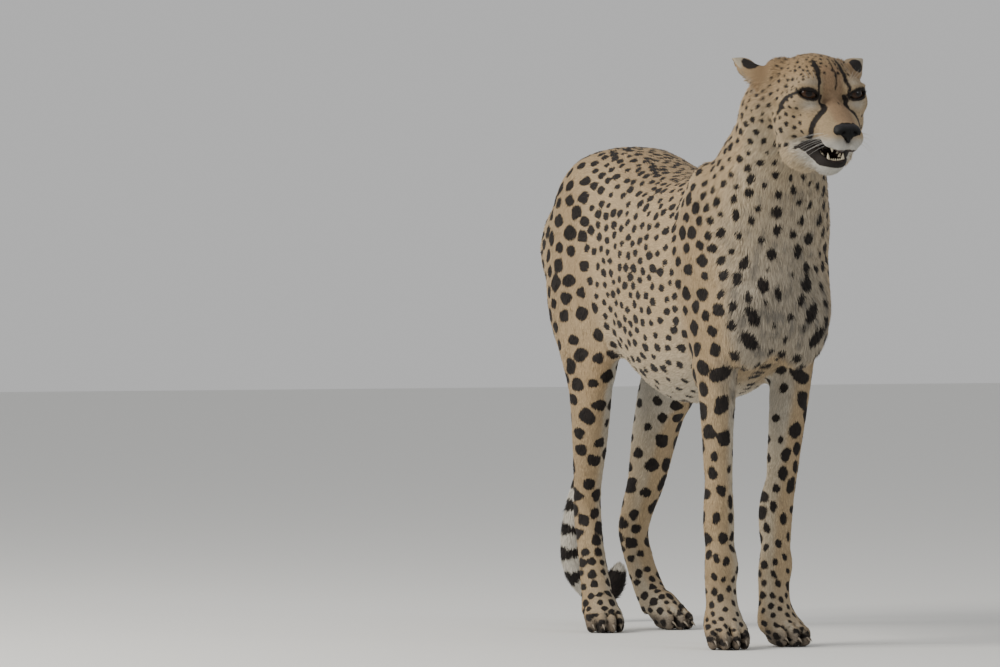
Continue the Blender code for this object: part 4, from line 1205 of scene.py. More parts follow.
def markings(points, normals, shares, places, way):
    """The coat's ground colour, and how far each point lies inside a black mark."""
    at = skin_places(points, normals, shares, places["tail"][0])
    base, rule = lay_spots(at, shares, way, made["tree"])

    # No spots on the muzzle and the chin.
    muzzle = at.face * ramp(-at.head[:, 1], -3, 8)
    forehead = at.face * ramp(at.head[:, 2], 12, 26)
    spotted = base - 0.012 * muzzle * (1 - forehead) - 0.02 * at.chin
    marks = tail_rings(at, spotted)

    ear = on, v, u, behind = ear_place(at.head)
    tone = np.tile(np.array(TAN), (len(points), 1))
    for colour, share in (*body_tones(at), *face_tones(at), *ear_tones(at, ear)):
        tone = mixed(tone, colour, share)
    patch = (1 - np.sqrt(((u + 0.1) / 0.46) ** 2 + ((v - 0.60) / 0.20) ** 2)) * 0.010
    marks = np.where(on > 0.3, np.where(behind > 0, patch, -0.01), marks)

    marks = np.maximum(marks, np.where(at.face > 0.3, face_marks(points, at.head, made["tree"]), NO_MARK))
    tone = tone * (0.93 - 0.16 * at.face - 0.06 * at.legs - 0.10 * at.top - 0.05 * at.neck)[:, None]
    # The legs turn darker within 16 to 30 mm of the floor.
    tone = mixed(tone, NEAR_FLOOR_DARK, 0.8 * (at.legs * ramp(-at.z, -0.030, -0.016)))
    made["rule"], made["base"] = np.where(marks == spotted, rule, -1), base
    return tone, marks


def mark_near(places):
    """The mark at places on the skin, exact where a spot rules them."""
    tree = made["tree"]
    near = np.array([tree.find(place)[1] for place in places.tolist()])
    rule = made["rule"][near]
    exact = spot_inside(np.maximum(rule, 0), places) - made["base"][near]
    return made["mark"][near] + np.where(rule >= 0, exact, 0)


# ---------------------------------------------------------------- tufts


def spread_roots(points, triangles, density, rng):
    """Seeded places on triangles, as many on each as its area times the density there says."""
    corners = points[triangles]
    area = np.linalg.norm(np.cross(corners[:, 1] - corners[:, 0], corners[:, 2] - corners[:, 0]), axis=1) / 2
    wanted = area * density[triangles].mean(1)
    count = np.floor(wanted + rng.random(len(wanted))).astype(int)
    chosen = np.repeat(np.arange(len(triangles)), count)
    a, b = np.sqrt(rng.random(len(chosen))), rng.random(len(chosen))
    return chosen, np.stack([1 - a, a * (1 - b), a * b], axis=1)


# A tuft is a long low pyramid: two foot points, a ridge point and a tip. Of its faces the first two
# look to the skin. Each point's side, from -1 to 1, and its share of the way to the tip:
TUFT_FACES = np.array([(2, 1, 0), (1, 3, 0), (2, 3, 1), (0, 3, 2)])
TUFT_FACING = np.array([-1.0, -1.0, 1.0, 1.0])
TUFT_SIDES = np.array([-1, 1, 0, 0.0])
TUFT_HEIGHTS = np.array([0, 0, 0.15, 1.0])


def tuft_mesh(root, normal, way, length, width, lift, rng):
    """Tufts of hair, each leaving its root along the way that the hair lies, lifted by its angle."""
    count = len(root)
    way = unit(way + 0.14 * rng.normal(size=(count, 1)) * np.cross(normal, way))
    side = np.cross(normal, way)
    angle = np.radians(lift * rng.uniform(0.4, 1.5, count))[:, None]
    length = (length * rng.uniform(0.75, 1.25, count))[:, None]
    width = width[:, None]
    foot = root - normal * width * 0.30 - way * length * 0.10
    tip = foot + (way * np.cos(angle) + normal * np.sin(angle)) * length
    half = side * width * 0.5
    points = np.stack([foot - half, foot + half, foot + normal * width * 0.30 + way * length * 0.12, tip], axis=1)
    faces = (TUFT_FACES[None] + 4 * np.arange(count)[:, None, None]).reshape(-1, 3)
    return points.reshape(-1, 3), faces


# name, slot, region, side, span of y, tufts per square metre, their width.
COATS = (
    ("coat_face_left", "tan_coat", "face", LEFT, (-1, 1), 680000, 0.0012),
    ("coat_face_right", "tan_coat", "face", RIGHT, (-1, 1), 680000, 0.0012),
    ("coat_ears", "ear_coat", "ear", 0, (-1, 1), 620000, 0.0013),
    ("coat_neck", "tan_coat", "neck", 0, (-1, 1), 300000, 0.0021),
    ("coat_breast", "pale_coat", "breast", 0, (-1, 1), 300000, 0.0023),
    ("coat_trunk_front_left", "tan_coat", "trunk", LEFT, (-1, 0.06), 165000, 0.0025),
    ("coat_trunk_front_right", "tan_coat", "trunk", RIGHT, (-1, 0.06), 165000, 0.0025),
    ("coat_trunk_back_left", "tan_coat", "trunk", LEFT, (0.06, 1), 165000, 0.0025),
    ("coat_trunk_back_right", "tan_coat", "trunk", RIGHT, (0.06, 1), 165000, 0.0025),
    ("coat_belly", "pale_coat", "belly", 0, (-1, 1), 260000, 0.0024),
    ("coat_foreleg_left", "tan_coat", "foreleg_left", 0, (-1, 1), 330000, 0.0018),
    ("coat_foreleg_right", "tan_coat", "foreleg_right", 0, (-1, 1), 330000, 0.0018),
    ("coat_hindleg_left", "tan_coat", "hindleg_left", 0, (-1, 1), 250000, 0.0021),
    ("coat_hindleg_right", "tan_coat", "hindleg_right", 0, (-1, 1), 250000, 0.0021),
    ("coat_tail", "pale_coat", "tail", 0, (-1, 1), 300000, 0.0020),
)
PATCH = 0.003  # of the unwrap's width, for each tuft


def coat_regions():
    """For each triangle of the skin the region that rules it, with the ears and the belly apart."""
    if "region" in made:
        return made["region"]
    points, normals, triangles = made["points"], made["normals"], made["triangles"]
    names = [*made["shares"], "ear", "belly"]
    shares = np.array([made["shares"][name][triangles].mean(1) for name in made["shares"]])
    region = shares.argmax(0)
    on = ear_place(to_head(points[triangles].mean(1)))[0]
    region[on > 0.45] = names.index("ear")
    under = normals[triangles].mean(1)[:, 2] < -0.45
    region[under & (region == names.index("trunk"))] = names.index("belly")
    made["region"] = region, names
    return made["region"]


def unwrap_of(region, points):
    """A place on the unwrap of a region: the angle round its spine and the share of the way along."""
    if region == "ear":
        head = to_head(points)
        _, along, across, behind = ear_place(head)
        turn = np.arctan2(behind + 3.0, across * 12) / (2 * math.pi) + 0.5
        u = np.where(head[:, 0] > 0, 0.02 + 0.46 * turn, 0.52 + 0.46 * turn)
        return u, np.clip(along, 0, 1)
    _, share, _, angle = along_spine("trunk" if region == "belly" else region, points)
    return angle / (2 * math.pi) + 0.5, share


def coat_piece(row, density, seed):
    """Tufts rooted on one part of the skin, with the root's colour and mark carried by each tuft."""
    name, _, ruled, side, span, rate, width = row
    rng = np.random.default_rng(100 + seed)
    points, normals, triangles = made["points"], made["normals"], made["triangles"]
    region, names = coat_regions()
    use = region == names.index(ruled)
    centre = points[triangles].mean(1)
    if side:
        use &= centre[:, 0] * side > 0
    use &= (centre[:, 1] > span[0]) & (centre[:, 1] <= span[1])
    use &= made["bare"][triangles].max(1) < 0.5
    chosen = triangles[use]
    # Hair is as thin as it is short: the roots stand closer where it is shorter.
    length = made["length"]
    typical = np.median(length[chosen])
    fine = np.clip(length / typical, 0.55, 1.6)
    which, share = spread_roots(points, chosen, rate * density / fine**1.3, rng)
    corner = chosen[which]

    def at(values):
        if values.ndim == 1:
            return (values[corner] * share).sum(1)
        return (values[corner] * share[..., None]).sum(1)

    root, normal, way = at(points), unit(at(normals)), at(made["way"])
    way = unit(way - normal * (way * normal).sum(1)[:, None], 1e-9)
    clump = ripple(root, 0.018, 40 + seed) * 0.35
    way = unit(way + clump[:, None] * np.cross(normal, way) * (0.45 if width > 0.0019 else 0.22))
    wide = width * at(fine) ** 0.65 * rng.uniform(0.75, 1.3, len(root))
    stand = at(made["lift"]) * (1 + 0.4 * ripple(root, 0.03, 60 + seed))
    mesh_points, faces = tuft_mesh(root, normal, way, at(length), wide, stand, rng)
    mesh_points[:, 2] = np.maximum(mesh_points[:, 2], HAIR_FLOOR - SHIFT[2])
    piece = mesh_object(name, mesh_points + SHIFT, faces)
    count = len(root)
    # Upper faces are shaded between their own normal and the skin's, round over the ridge, and the
    # ones beneath by their own, so every edge but the ridge is sharp.
    ends = mesh_points[faces].reshape(count, 4, 3, 3)
    own = np.cross(ends[:, :, 1] - ends[:, :, 0], ends[:, :, 2] - ends[:, :, 0])
    own = unit(own, 1e-20)
    shown = np.repeat(own[:, :, None], 3, axis=2)
    shown[:, 2, :2] = shown[:, 3, 1:] = unit(own[:, 2] + own[:, 3], 1e-20)[:, None]
    toward = np.where(TUFT_FACING > 0, 0.75, -0.15)[None, :, None, None]
    shown = 0.75 * shown + toward * normal[:, None, None] + 0.16 * rng.normal(size=(count, 1, 1, 3))
    custom = piece.data.attributes.new("custom_normal", "FLOAT_VECTOR", "CORNER")
    custom.data.foreach_set("vector", unit(shown).astype(np.float32).ravel())
    edges = np.empty(2 * len(piece.data.edges), np.int32)
    piece.data.edges.foreach_get("vertices", edges)
    piece.data.edges.foreach_set("use_edge_sharp", (edges.reshape(-1, 2) % 4).sum(1) != 5)
    paint(piece, "tone", np.repeat(at(made["tone"]), 4, axis=0))
    # Each part of a tuft takes the mark of the skin that it lies over, so that the spots keep their edges.
    reach = way * at(length)[:, None]
    low, high = mark_near(root + reach * 0.30), mark_near(root + reach * 0.75)
    mark = np.stack([low, low, low, high], axis=1) + rng.normal(size=(count, 1)) * 0.05 * at(length)[:, None]
    paint(piece, "mark", mark.ravel())
    paint(piece, "shade", np.repeat(rng.random(count), 4))
    paint(piece, "tip", np.tile(TUFT_HEIGHTS, count))
    u, v = unwrap_of(ruled, root)
    patch_uv(piece, u, v, faces)
    return piece


def patch_uv(piece, u, v, faces):
    """A UV map with each tuft as a small patch at its root's place on the skin's unwrap."""
    low, high = 2 * PATCH, 1 - 2 * PATCH
    u = low + (high - low) * (u - u.min()) / (np.ptp(u) + 1e-9)
    v = low + (high - low) * (v - v.min()) / (np.ptp(v) + 1e-9)
    place = np.stack(
        [u[:, None] + TUFT_SIDES[None] * PATCH / 2, v[:, None] + (TUFT_HEIGHTS[None] - 0.5) * PATCH], axis=-1
    ).reshape(-1, 2)
    layer = piece.data.uv_layers.new(name="OFBake")
    layer.uv.foreach_set("vector", place[faces.ravel()].astype(np.float32).ravel())


def bare_places(points, normals):
    """Where no hair grows, and which of that is the wet inside of the mouth and of the lids."""
    head = to_head(points)
    back = MOUTH_CORNER[0]
    _, top, bottom = mouth_wedge(head)
    at_head = (head[:, 1] < 60) & (head[:, 2] < 60) & (np.abs(head[:, 0]) < 60)
    mouth = (head[:, 2] < top + 0.9) & (head[:, 2] > bottom - 0.9) & (head[:, 1] < back + 1)
    roof = (head[:, 0] / 17) ** 2 + ((head[:, 1] + 8) / 34) ** 2 + ((head[:, 2] + 84) / 9.5) ** 2 < 1.15
    bed = (head[:, 0] / 15) ** 2 + ((head[:, 1] - 2) / 30) ** 2 + ((head[:, 2] + 94) / 8) ** 2 < 1.15
    # The skin's material paints these places near black: partly dark flesh, partly painted shade in the mouth's
    # hollow.
    inner = at_head & (mouth | roof | bed)
    socket = np.zeros(len(points), bool)
    for side in (LEFT, RIGHT):
        socket |= from_eye(head, side) < EYE_RADIUS * 1000 + 1.4
    leather = (nose_share(head) > 0.5) | (at_head & (lip_mark(head) > 0.0012))
    soles = (points[:, 2] < 0.006) & (normals[:, 2] < -0.4)
    return (inner | socket | leather | soles).astype(float), (inner | socket).astype(float)


def nose_share(head):
    """1 where the nose's leather lies over the skin."""
    x, y, z = np.abs(head[:, 0]), head[:, 1], head[:, 2]
    half = np.interp(z, (-71, -64, -56, -50, -43), (2, 8, 18, 19, 11))
    return ((x < half) & (y < -44) & (z < -43) & (z > -69)).astype(float)


# ---------------------------------------------------------------- eyes, nose, teeth, claws and whiskers


def finish_piece(piece, material, slot, *nodes):
    """Gives a piece its material and body, and hides the solids that it stands for; slot is not used."""
    piece.data.materials.append(material)
    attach(piece, "root")
    if nodes:
        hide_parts(*nodes)
    print("PIECE", piece.name, len(piece.data.polygons))


def gaze_axes(side):
    """Columns: to the eye's right, up, and the way it looks."""
    front = HEAD_AXES @ gaze_front(side)
    up = np.array([0.0, 0, 1])
    across = np.cross(front, up)
    across /= np.linalg.norm(across)
    return np.stack([across, np.cross(across, front), front], axis=1)


def eye_ball(side):
    """A ball in rings round the way it looks: radius r = R + c (1 - (t / t0)^2) within the angle t0,
    the clear bulge over the iris. The angle from the axis is kept for the material."""
    rings, around = 56, 64
    t = np.linspace(0.0, math.pi, rings)[1:-1]
    turn = np.linspace(0, 2 * math.pi, around, endpoint=False)
    bulge = np.clip(1 - (t / CORNEA_ANGLE) ** 2, 0, 1) * CORNEA_RISE
    radius = EYE_RADIUS + bulge
    ring = np.stack(
        [np.outer(radius * np.sin(t), np.cos(turn)), np.outer(radius * np.sin(t), np.sin(turn)),
         np.outer(radius * np.cos(t), np.ones(around))], axis=-1
    ).reshape(-1, 3)
    local = np.vstack([ring, [[0, 0, EYE_RADIUS + CORNEA_RISE]], [[0, 0, -EYE_RADIUS]]])
    points = local @ gaze_axes(side).T + eye_centre(side) + SHIFT
    piece = mesh_object("eye_ball_" + SIDE_NAMES[side], points, tube_faces(len(t), around)[:, ::-1])
    paint(piece, "off_axis", np.concatenate([np.repeat(t, around), [0.0, math.pi]]))
    fibre = 0.5 + 0.5 * np.sin(turn * 23 + 2 * np.sin(turn * 5))
    paint(piece, "fibre", np.concatenate([np.tile(fibre, len(t)), [0.5, 0.5]]))
    return piece


def nose_leather():
    """The bare leather: a broad pad with a wing over each nostril, the two nostrils with their side
    slits, the groove down its middle and the strip that runs to the lip."""
    field = Field(from_head((-40, -90, -90)), from_head((40, -25, -25)), 0.0007, 0.006)
    head_form(field, (0, -53.5, -50.0), (18.5, 12.5, 7.4), 16, 0, 4)
    head_form(field, (0, -57.0, -58.5), (11, 8.5, 7.4), 0, 0, 4)
    head_form(field, (0, -59.5, -66), (3.0, 5.5, 6.0), 0, 0, 3)
    for side in (LEFT, RIGHT):
        head_form(field, (side * 12.5, -54.5, -55), (9.0, 11, 7.6), 0, side * 20, 4)
    for side in (LEFT, RIGHT):
        head_form(field, (side * 9.4, -66.0, -57.2), (3.8, 5.4, 2.3), 0, side * 30, 1.4, True)
        head_form(field, (side * 14.6, -63.0, -60.2), (4.8, 4.4, 1.0), 0, side * -26, 1.0, True)
    head_form(field, (0, -68.6, -60), (0.6, 4.0, 11), 0, 0, 1.0, True)
    points, quads = field.surface()
    return mesh_object("nose_pad", points + SHIFT, quads)


def spikes(name, rows, around, rings):
    """Tapered, curved spikes, each with a base, a first way, a way that it bends to, a length, a
    width, a breadth as a share of that, and how its width falls: w (1 - s^p) at the share s."""
    count = len(rows)
    base, way, bend, *sizes = (np.array(column, float) for column in zip(*rows))
    length, width, breadth, power = (size[:, None] for size in sizes)
    s = np.linspace(0, 1, rings)[None, :]
    path = base[:, None] + length[..., None] * (s[..., None] * way[:, None] + 0.5 * s[..., None] ** 2 * bend[:, None])
    along = unit(way[:, None] + s[..., None] * bend[:, None])
    guide = np.tile([0.31, 0.52, 0.79], (count, 1))
    side = unit(np.cross(along, guide[:, None]))
    third = np.cross(along, side)
    reach = width * np.maximum(1 - s**power, 0.03)
    turn = np.linspace(0, 2 * math.pi, around, endpoint=False)
    ring = reach[..., None, None] * (
        np.cos(turn)[:, None] * side[:, :, None] + breadth[..., None, None] * np.sin(turn)[:, None] * third[:, :, None]
    )
    points = (path[:, :, None] + ring).reshape(count, -1, 3)
    points = np.concatenate([points, path[:, :1], path[:, -1:] + along[:, -1:] * reach[:, -1:, None]], axis=1)
    each = rings * around + 2
    faces = tube_faces(rings, around)[None] + each * np.arange(count)[:, None, None]
    return mesh_object(name, points.reshape(-1, 3), faces.reshape(-1, 3))


def head_way(way):
    """A direction in the head's frame as one in the animal's."""
    return HEAD_AXES @ np.asarray(way, float)


def tooth_rows():
    """Lower canines with the small front teeth between them, cheek teeth, and the upper canines."""
    rows = []

    def add(base, way, bend, *sizes):
        rows.append((from_head(base) + SHIFT, head_way(way), head_way(bend), *sizes))

    for side in (LEFT, RIGHT):
        leaning = (side * 0.06, -0.10, 0.98)
        add((side * 11.0, -15, -99.5), leaning, (side * 0.02, 0.18, 0), 0.0140, 0.0030, 0.85, 2.0)
        add((side * 14.5, -36, -75), (0, -0.08, -1.0), (0, 0.25, 0), 0.0100, 0.0030, 0.85, 2.0)
        for k in range(3):
            front = (side * (1.7 + 3.0 * k), -18 + 0.8 * k, -100)
            add(front, (0, -0.15, 1), (0, 0, 0), 0.0065, 0.0015, 0.7, 4.0)
        for k in range(2):
            cheek = (side * (14 + k), 0 + 8 * k, -92 + 5.0 * k)
            add(cheek, (0, 0, 1), (0, 0, 0), 0.0065, 0.0036, 0.5, 1.6)
    return rows


def claw_rows():
    """One claw at the end of each toe, pointing forward and down."""
    rows = []
    for kind in ("fore", "hind"):
        width = paw_size(kind)
        for side in (LEFT, RIGHT):
            origin, axes = paw_frame(kind, side)
            for across, forward in TOES:
                base = origin + axes @ (np.array([across, -forward - 0.085, 0.20]) * width) + SHIFT
                way, bend = axes @ np.array([0, -0.90, -0.30]), axes @ np.array([0, 0.1, -0.75])
                rows.append((base, way, bend, 0.0105, 0.0024, 0.7, 1.7))
    return rows


def whisker_rows():
    """Whiskers in four rows on each side of the lip, and a few over each eye."""
    rng = np.random.default_rng(31)
    rows = []
    for side in (LEFT, RIGHT):
        for r in range(4):
            for c in range(3):
                base = (side * (20 + 3.4 * c), -50 + 7.5 * c + rng.normal() * 0.8, -58 - 4.4 * r + 0.6 * c)
                way = head_way((side * 0.86, 0.22 + 0.10 * c, -0.22 + 0.10 * (2 - r) + rng.normal() * 0.05))
                bend, length = head_way((side * -0.28, 0.42, -0.38)), rng.uniform(0.040, 0.062) + 0.004 * c
                rows.append((from_head(base) + SHIFT, way, bend, length, 0.00020, 1.0, 1.6))
        for c in range(3):
            base = (side * (27 + 5 * c), -4 + 2 * c, 19 + c)
            way, bend = head_way((side * (0.25 + 0.2 * c), -0.35, 0.85)), head_way((side * 0.2, 0.5, -0.2))
            rows.append((from_head(base) + SHIFT, way, bend, rng.uniform(0.020, 0.028), 0.00014, 1.0, 1.6))
    return rows


# ---------------------------------------------------------------- materials


def new_material(name, values=None):
    """A material, its node tree and its shader, with values for the shader's sockets by name."""
    material = bpy.data.materials.new(name)
    material.use_nodes = True
    tree = material.node_tree
    shader = tree.nodes["Principled BSDF"]
    for socket, value in (values or {}).items():
        shader.inputs[socket].default_value = value
    return material, tree, shader


def node(tree, kind, values=None, **settings):
    """A node with settings of its own and values for its sockets by name."""
    step = tree.nodes.new(kind)
    for name, value in settings.items():
        setattr(step, name, value)
    for socket, value in (values or {}).items():
        step.inputs[socket].default_value = value
    return step


def math_node(tree, operation, *values, clamp=False):
    """A Math node of up to three values, each a socket or a number; MULTIPLY_ADD is a b + c."""
    step = node(tree, "ShaderNodeMath", operation=operation, use_clamp=clamp)
    for socket, value in zip(step.inputs, values):
        if isinstance(value, (int, float)):
            socket.default_value = value
        else:
            tree.links.new(value, socket)
    return step.outputs[0]


def mix_colour(tree, share, first, second, blend="MIX"):
    """The second colour over the first by a share; each is a socket, or a number or tuple."""
    step = node(tree, "ShaderNodeMix", data_type="RGBA", blend_type=blend)
    for socket, value in ((step.inputs[0], share), (step.inputs[6], first), (step.inputs[7], second)):
        if isinstance(value, (int, float)):
            socket.default_value = value
        elif isinstance(value, tuple):
            socket.default_value = (*value, 1)
        else:
            tree.links.new(value, socket)
    return step.outputs[2]


def noise(tree, scale, detail=3.0, rough=0.55, stretch=(1, 1, 1)):
    """Noise on object coordinates, as many to the metre as its scale times the stretch."""
    place = node(tree, "ShaderNodeTexCoord")
    mapping = node(tree, "ShaderNodeMapping", {"Scale": stretch})
    grain = node(tree, "ShaderNodeTexNoise", {"Scale": scale, "Detail": detail, "Roughness": rough})
    tree.links.new(place.outputs["Object"], mapping.inputs["Vector"])
    tree.links.new(mapping.outputs[0], grain.inputs["Vector"])
    return grain.outputs["Fac"]


def attribute(tree, name, output="Fac"):
    """What a piece's mesh says under a name."""
    return node(tree, "ShaderNodeAttribute", attribute_name=name).outputs[output]


def coat_colour_group(colours):
    """The colour of hair: its ground tone, varied from tuft to tuft and from root to tip, and black
    where the mark reaches past nought with a ragged edge."""
    group = bpy.data.node_groups.get("coat_colour")
    if group:
        return group
    group = bpy.data.node_groups.new("coat_colour", "ShaderNodeTree")
    face = group.interface
    face.new_socket("Tone", in_out="INPUT", socket_type="NodeSocketColor")
    for name in ("Mark", "Shade", "Tip"):
        face.new_socket(name, in_out="INPUT", socket_type="NodeSocketFloat")
    face.new_socket("Color", in_out="OUTPUT", socket_type="NodeSocketColor")
    face.new_socket("Black", in_out="OUTPUT", socket_type="NodeSocketFloat")
    start, end = group.nodes.new("NodeGroupInput"), group.nodes.new("NodeGroupOutput")
    ragged = math_node(group, "MULTIPLY", math_node(group, "SUBTRACT", noise(group, 420, 2), 0.5), 0.0022)
    edge = math_node(group, "ADD", start.outputs["Mark"], ragged)
    black = math_node(group, "MULTIPLY_ADD", edge, 620.0, 0.5, clamp=True)
    light = math_node(group, "MULTIPLY_ADD", start.outputs["Shade"], 0.42, 0.66)
    tips = math_node(group, "MULTIPLY_ADD", start.outputs["Tip"], 0.34, 0.86)
    patch = math_node(group, "ADD", math_node(group, "MULTIPLY", noise(group, 7, 3), 0.35), 0.82)
    value = math_node(group, "MULTIPLY", math_node(group, "MULTIPLY", light, tips), patch)
    grey = node(group, "ShaderNodeCombineColor")
    for socket in grey.inputs[:3]:
        group.links.new(value, socket)
    ground = mix_colour(group, 1.0, start.outputs["Tone"], grey.outputs[0], "MULTIPLY")
    dark = mix_colour(group, start.outputs["Shade"], tuple(colours.mark_dark), tuple(colours.mark_pale))
    colour = mix_colour(group, black, ground, dark)
    group.links.new(colour, end.inputs["Color"])
    group.links.new(black, end.inputs["Black"])
    return group


def coat_group_in(tree, colours, shade=None, tip=None):
    """The coat's colour in a material, fed by the piece's own attributes."""
    group = node(tree, "ShaderNodeGroup", node_tree=coat_colour_group(colours))
    tree.links.new(attribute(tree, "tone", "Color"), group.inputs["Tone"])
    tree.links.new(attribute(tree, "mark"), group.inputs["Mark"])
    for name, value in (("Shade", shade), ("Tip", tip)):
        if isinstance(value, (int, float)):
            group.inputs[name].default_value = value
        else:
            tree.links.new(attribute(tree, name.lower()) if value is None else value, group.inputs[name])
    return group.outputs


def feed(tree, shader, colour, rough=None):
    """Gives a shader its colour and, where it isn't even, its roughness."""
    tree.links.new(colour, shader.inputs["Base Color"])
    if rough:
        tree.links.new(rough, shader.inputs["Roughness"])


def bump(tree, height, distance, strength, shader):
    """Raises the shader's surface by a height, a socket, times a distance in metres."""
    raised = node(tree, "ShaderNodeBump", {"Distance": distance, "Strength": strength})
    tree.links.new(height, raised.inputs["Height"])
    tree.links.new(raised.outputs[0], shader.inputs["Normal"])


def skin_material(colours):
    """The hide between the hairs, in the coat's colours, and dark wet flesh where it is bare inside, which is partly
    the flesh's own dark colour and partly painted shade in the mouth's hollow.
    """
    material, tree, shader = new_material("skin_under_the_coat", {"Specular IOR Level": 0.25})
    fine = noise(tree, 900, 3, 0.6, (1, 0.35, 1))
    colour = coat_group_in(tree, colours, fine, 0.0)["Color"]
    # Near black where it is bare inside: partly the flesh's own colour, partly painted shade in the hollow of the
    # mouth.
    flesh = mix_colour(tree, noise(tree, 300, 2), (0.016, 0.011, 0.010), (0.045, 0.026, 0.023))
    colour = mix_colour(tree, attribute(tree, "inner"), colour, flesh)
    feed(tree, shader, colour, math_node(tree, "MULTIPLY_ADD", attribute(tree, "inner"), -0.45, 0.82))
    bump(tree, fine, 0.0012, 0.6, shader)
    return material


def coat_material(colours):
    """Hair with a faint sheen, a little smoother where it is black."""
    values = {"Specular IOR Level": 0.16, "Sheen Weight": 0.035, "Sheen Roughness": 0.5}
    material, tree, shader = new_material("coat_hair", values)
    colour = coat_group_in(tree, colours)
    feed(tree, shader, colour["Color"], math_node(tree, "MULTIPLY_ADD", colour["Black"], -0.12, 0.70))
    return material


def eye_material(colours):
    """Black pupil, brown iris with pale fibres and a dark edge, dark ball, under a wet coat."""
    values = {"Roughness": 0.12, "Specular IOR Level": 0.2, "Coat Weight": 0.15, "Coat Roughness": 0.04}
    material, tree, shader = new_material("wet_amber_eye", values)
    rings = node(tree, "ShaderNodeValToRGB")
    stops = rings.color_ramp.elements
    stops[0].position, stops[0].color = 0.25, (0.002, 0.002, 0.002, 1)
    stops[1].position, stops[1].color = 0.29, (0.024, 0.010, 0.004, 1)
    # The angle from the way that the eye looks, and the colour there.
    outward = (
        (0.48, tuple(colours.iris)),
        (0.63, (0.020, 0.009, 0.004)),
        (0.70, (0.004, 0.003, 0.002)),
        (0.95, (0.02, 0.015, 0.012)),
    )
    for place, colour in outward:
        stops.new(place).color = (*colour, 1)
    tree.links.new(attribute(tree, "off_axis"), rings.inputs[0])
    streak = math_node(tree, "MULTIPLY", attribute(tree, "fibre"), noise(tree, 500, 2))
    streak = math_node(tree, "MULTIPLY", streak, 0.5)
    feed(tree, shader, mix_colour(tree, streak, rings.outputs[0], (0.03, 0.012, 0.005)))
    return material


def leather_material(colours):
    """Dark grey leather in small cobbles, damp, with a painted highlight on top: paler where it faces up."""
    material, tree, shader = new_material("nose_cobbled_leather", {"Specular IOR Level": 0.2})
    cobbles = node(tree, "ShaderNodeTexVoronoi", {"Scale": 750}, feature="DISTANCE_TO_EDGE")
    place = node(tree, "ShaderNodeTexCoord")
    tree.links.new(place.outputs["Object"], cobbles.inputs["Vector"])
    facing = node(tree, "ShaderNodeNewGeometry")
    parts = node(tree, "ShaderNodeSeparateXYZ")
    tree.links.new(facing.outputs["Normal"], parts.inputs[0])
    # Painted highlight: the leather is paler the more it faces up, as if lit from above.
    top = math_node(tree, "MULTIPLY_ADD", parts.outputs["Z"], 1.3, -0.15, clamp=True)
    top = math_node(tree, "MULTIPLY", top, math_node(tree, "ADD", noise(tree, 120, 3), 0.25))
    colour = mix_colour(tree, top, (0.005, 0.005, 0.005), tuple(colours.leather))
    feed(tree, shader, colour, math_node(tree, "MULTIPLY_ADD", noise(tree, 200, 2), 0.25, 0.46))
    bump(tree, cobbles.outputs["Distance"], 0.0006, 0.5, shader)
    return material


def horn_material(name, colour, rough):
    """Horn, enamel or a stiff hair: a little uneven in colour and gloss."""
    material, tree, shader = new_material(name)
    patch = noise(tree, 260, 3)
    dark = tuple(c * 0.62 for c in colour)
    colour = mix_colour(tree, patch, dark, tuple(colour))
    feed(tree, shader, colour, math_node(tree, "MULTIPLY_ADD", patch, 0.2, rough))
    return material


# ---------------------------------------------------------------- settings, operators and panel


def length_of(name, description, default):
    """A property that is a length."""
    return bpy.props.FloatProperty(name=name, description=description, default=default, unit="LENGTH")


def colour_of(name, description, default):
    """A property that is a colour."""
    return bpy.props.FloatVectorProperty(
        name=name, description=description, default=default, min=0, max=1, subtype="COLOR"
    )


class CheetahBody(bpy.types.PropertyGroup):
    coat_depth: length_of("Coat depth", "How far the skin lies inside the coat's outside", 0.0035)
    body_grid: length_of("Body grid", "Spacing of the points of the body's skin", 0.0045)
    head_grid: length_of("Head grid", "Spacing of the points of the head's skin", 0.0018)


class CheetahCoat(bpy.types.PropertyGroup):
    density: bpy.props.FloatProperty(
        name="Density", description="How many tufts there are, as a share of the full coat", default=1.0,
        subtype="FACTOR",
    )


class CheetahColours(bpy.types.PropertyGroup):
    mark_dark: colour_of("Marks, darkest", "The darkest hairs of the black marks", (0.007, 0.006, 0.006))
    mark_pale: colour_of("Marks, palest", "The palest hairs of the black marks", (0.026, 0.020, 0.017))
    iris: colour_of("Iris", "The middle of the iris", (0.044, 0.019, 0.007))
    # The nose leather's colour where it faces up: a painted highlight from above.
    leather: colour_of("Nose", "The painted_highlight top of the nose's leather", (0.032, 0.030, 0.034))
    teeth: colour_of("Teeth", "Enamel", (0.62, 0.55, 0.40))
    claws: colour_of("Claws", "Horn", (0.30, 0.25, 0.19))
    whiskers: colour_of("Whiskers", "Stiff hairs of lip and brow", (0.75, 0.73, 0.68))
    floor: colour_of("Floor", "The studio's floor", (0.78, 0.78, 0.76))


class CheetahStage(bpy.types.PropertyGroup):
    distance: length_of("Distance", "From the camera to the animal", 14.0)
    azimuth: bpy.props.FloatProperty(
        name="Azimuth", description="Where the camera stands round the animal, in degrees", default=-21.0
    )
    elevation: bpy.props.FloatProperty(
        name="Elevation", description="How far it looks down, in degrees", default=3.0
    )


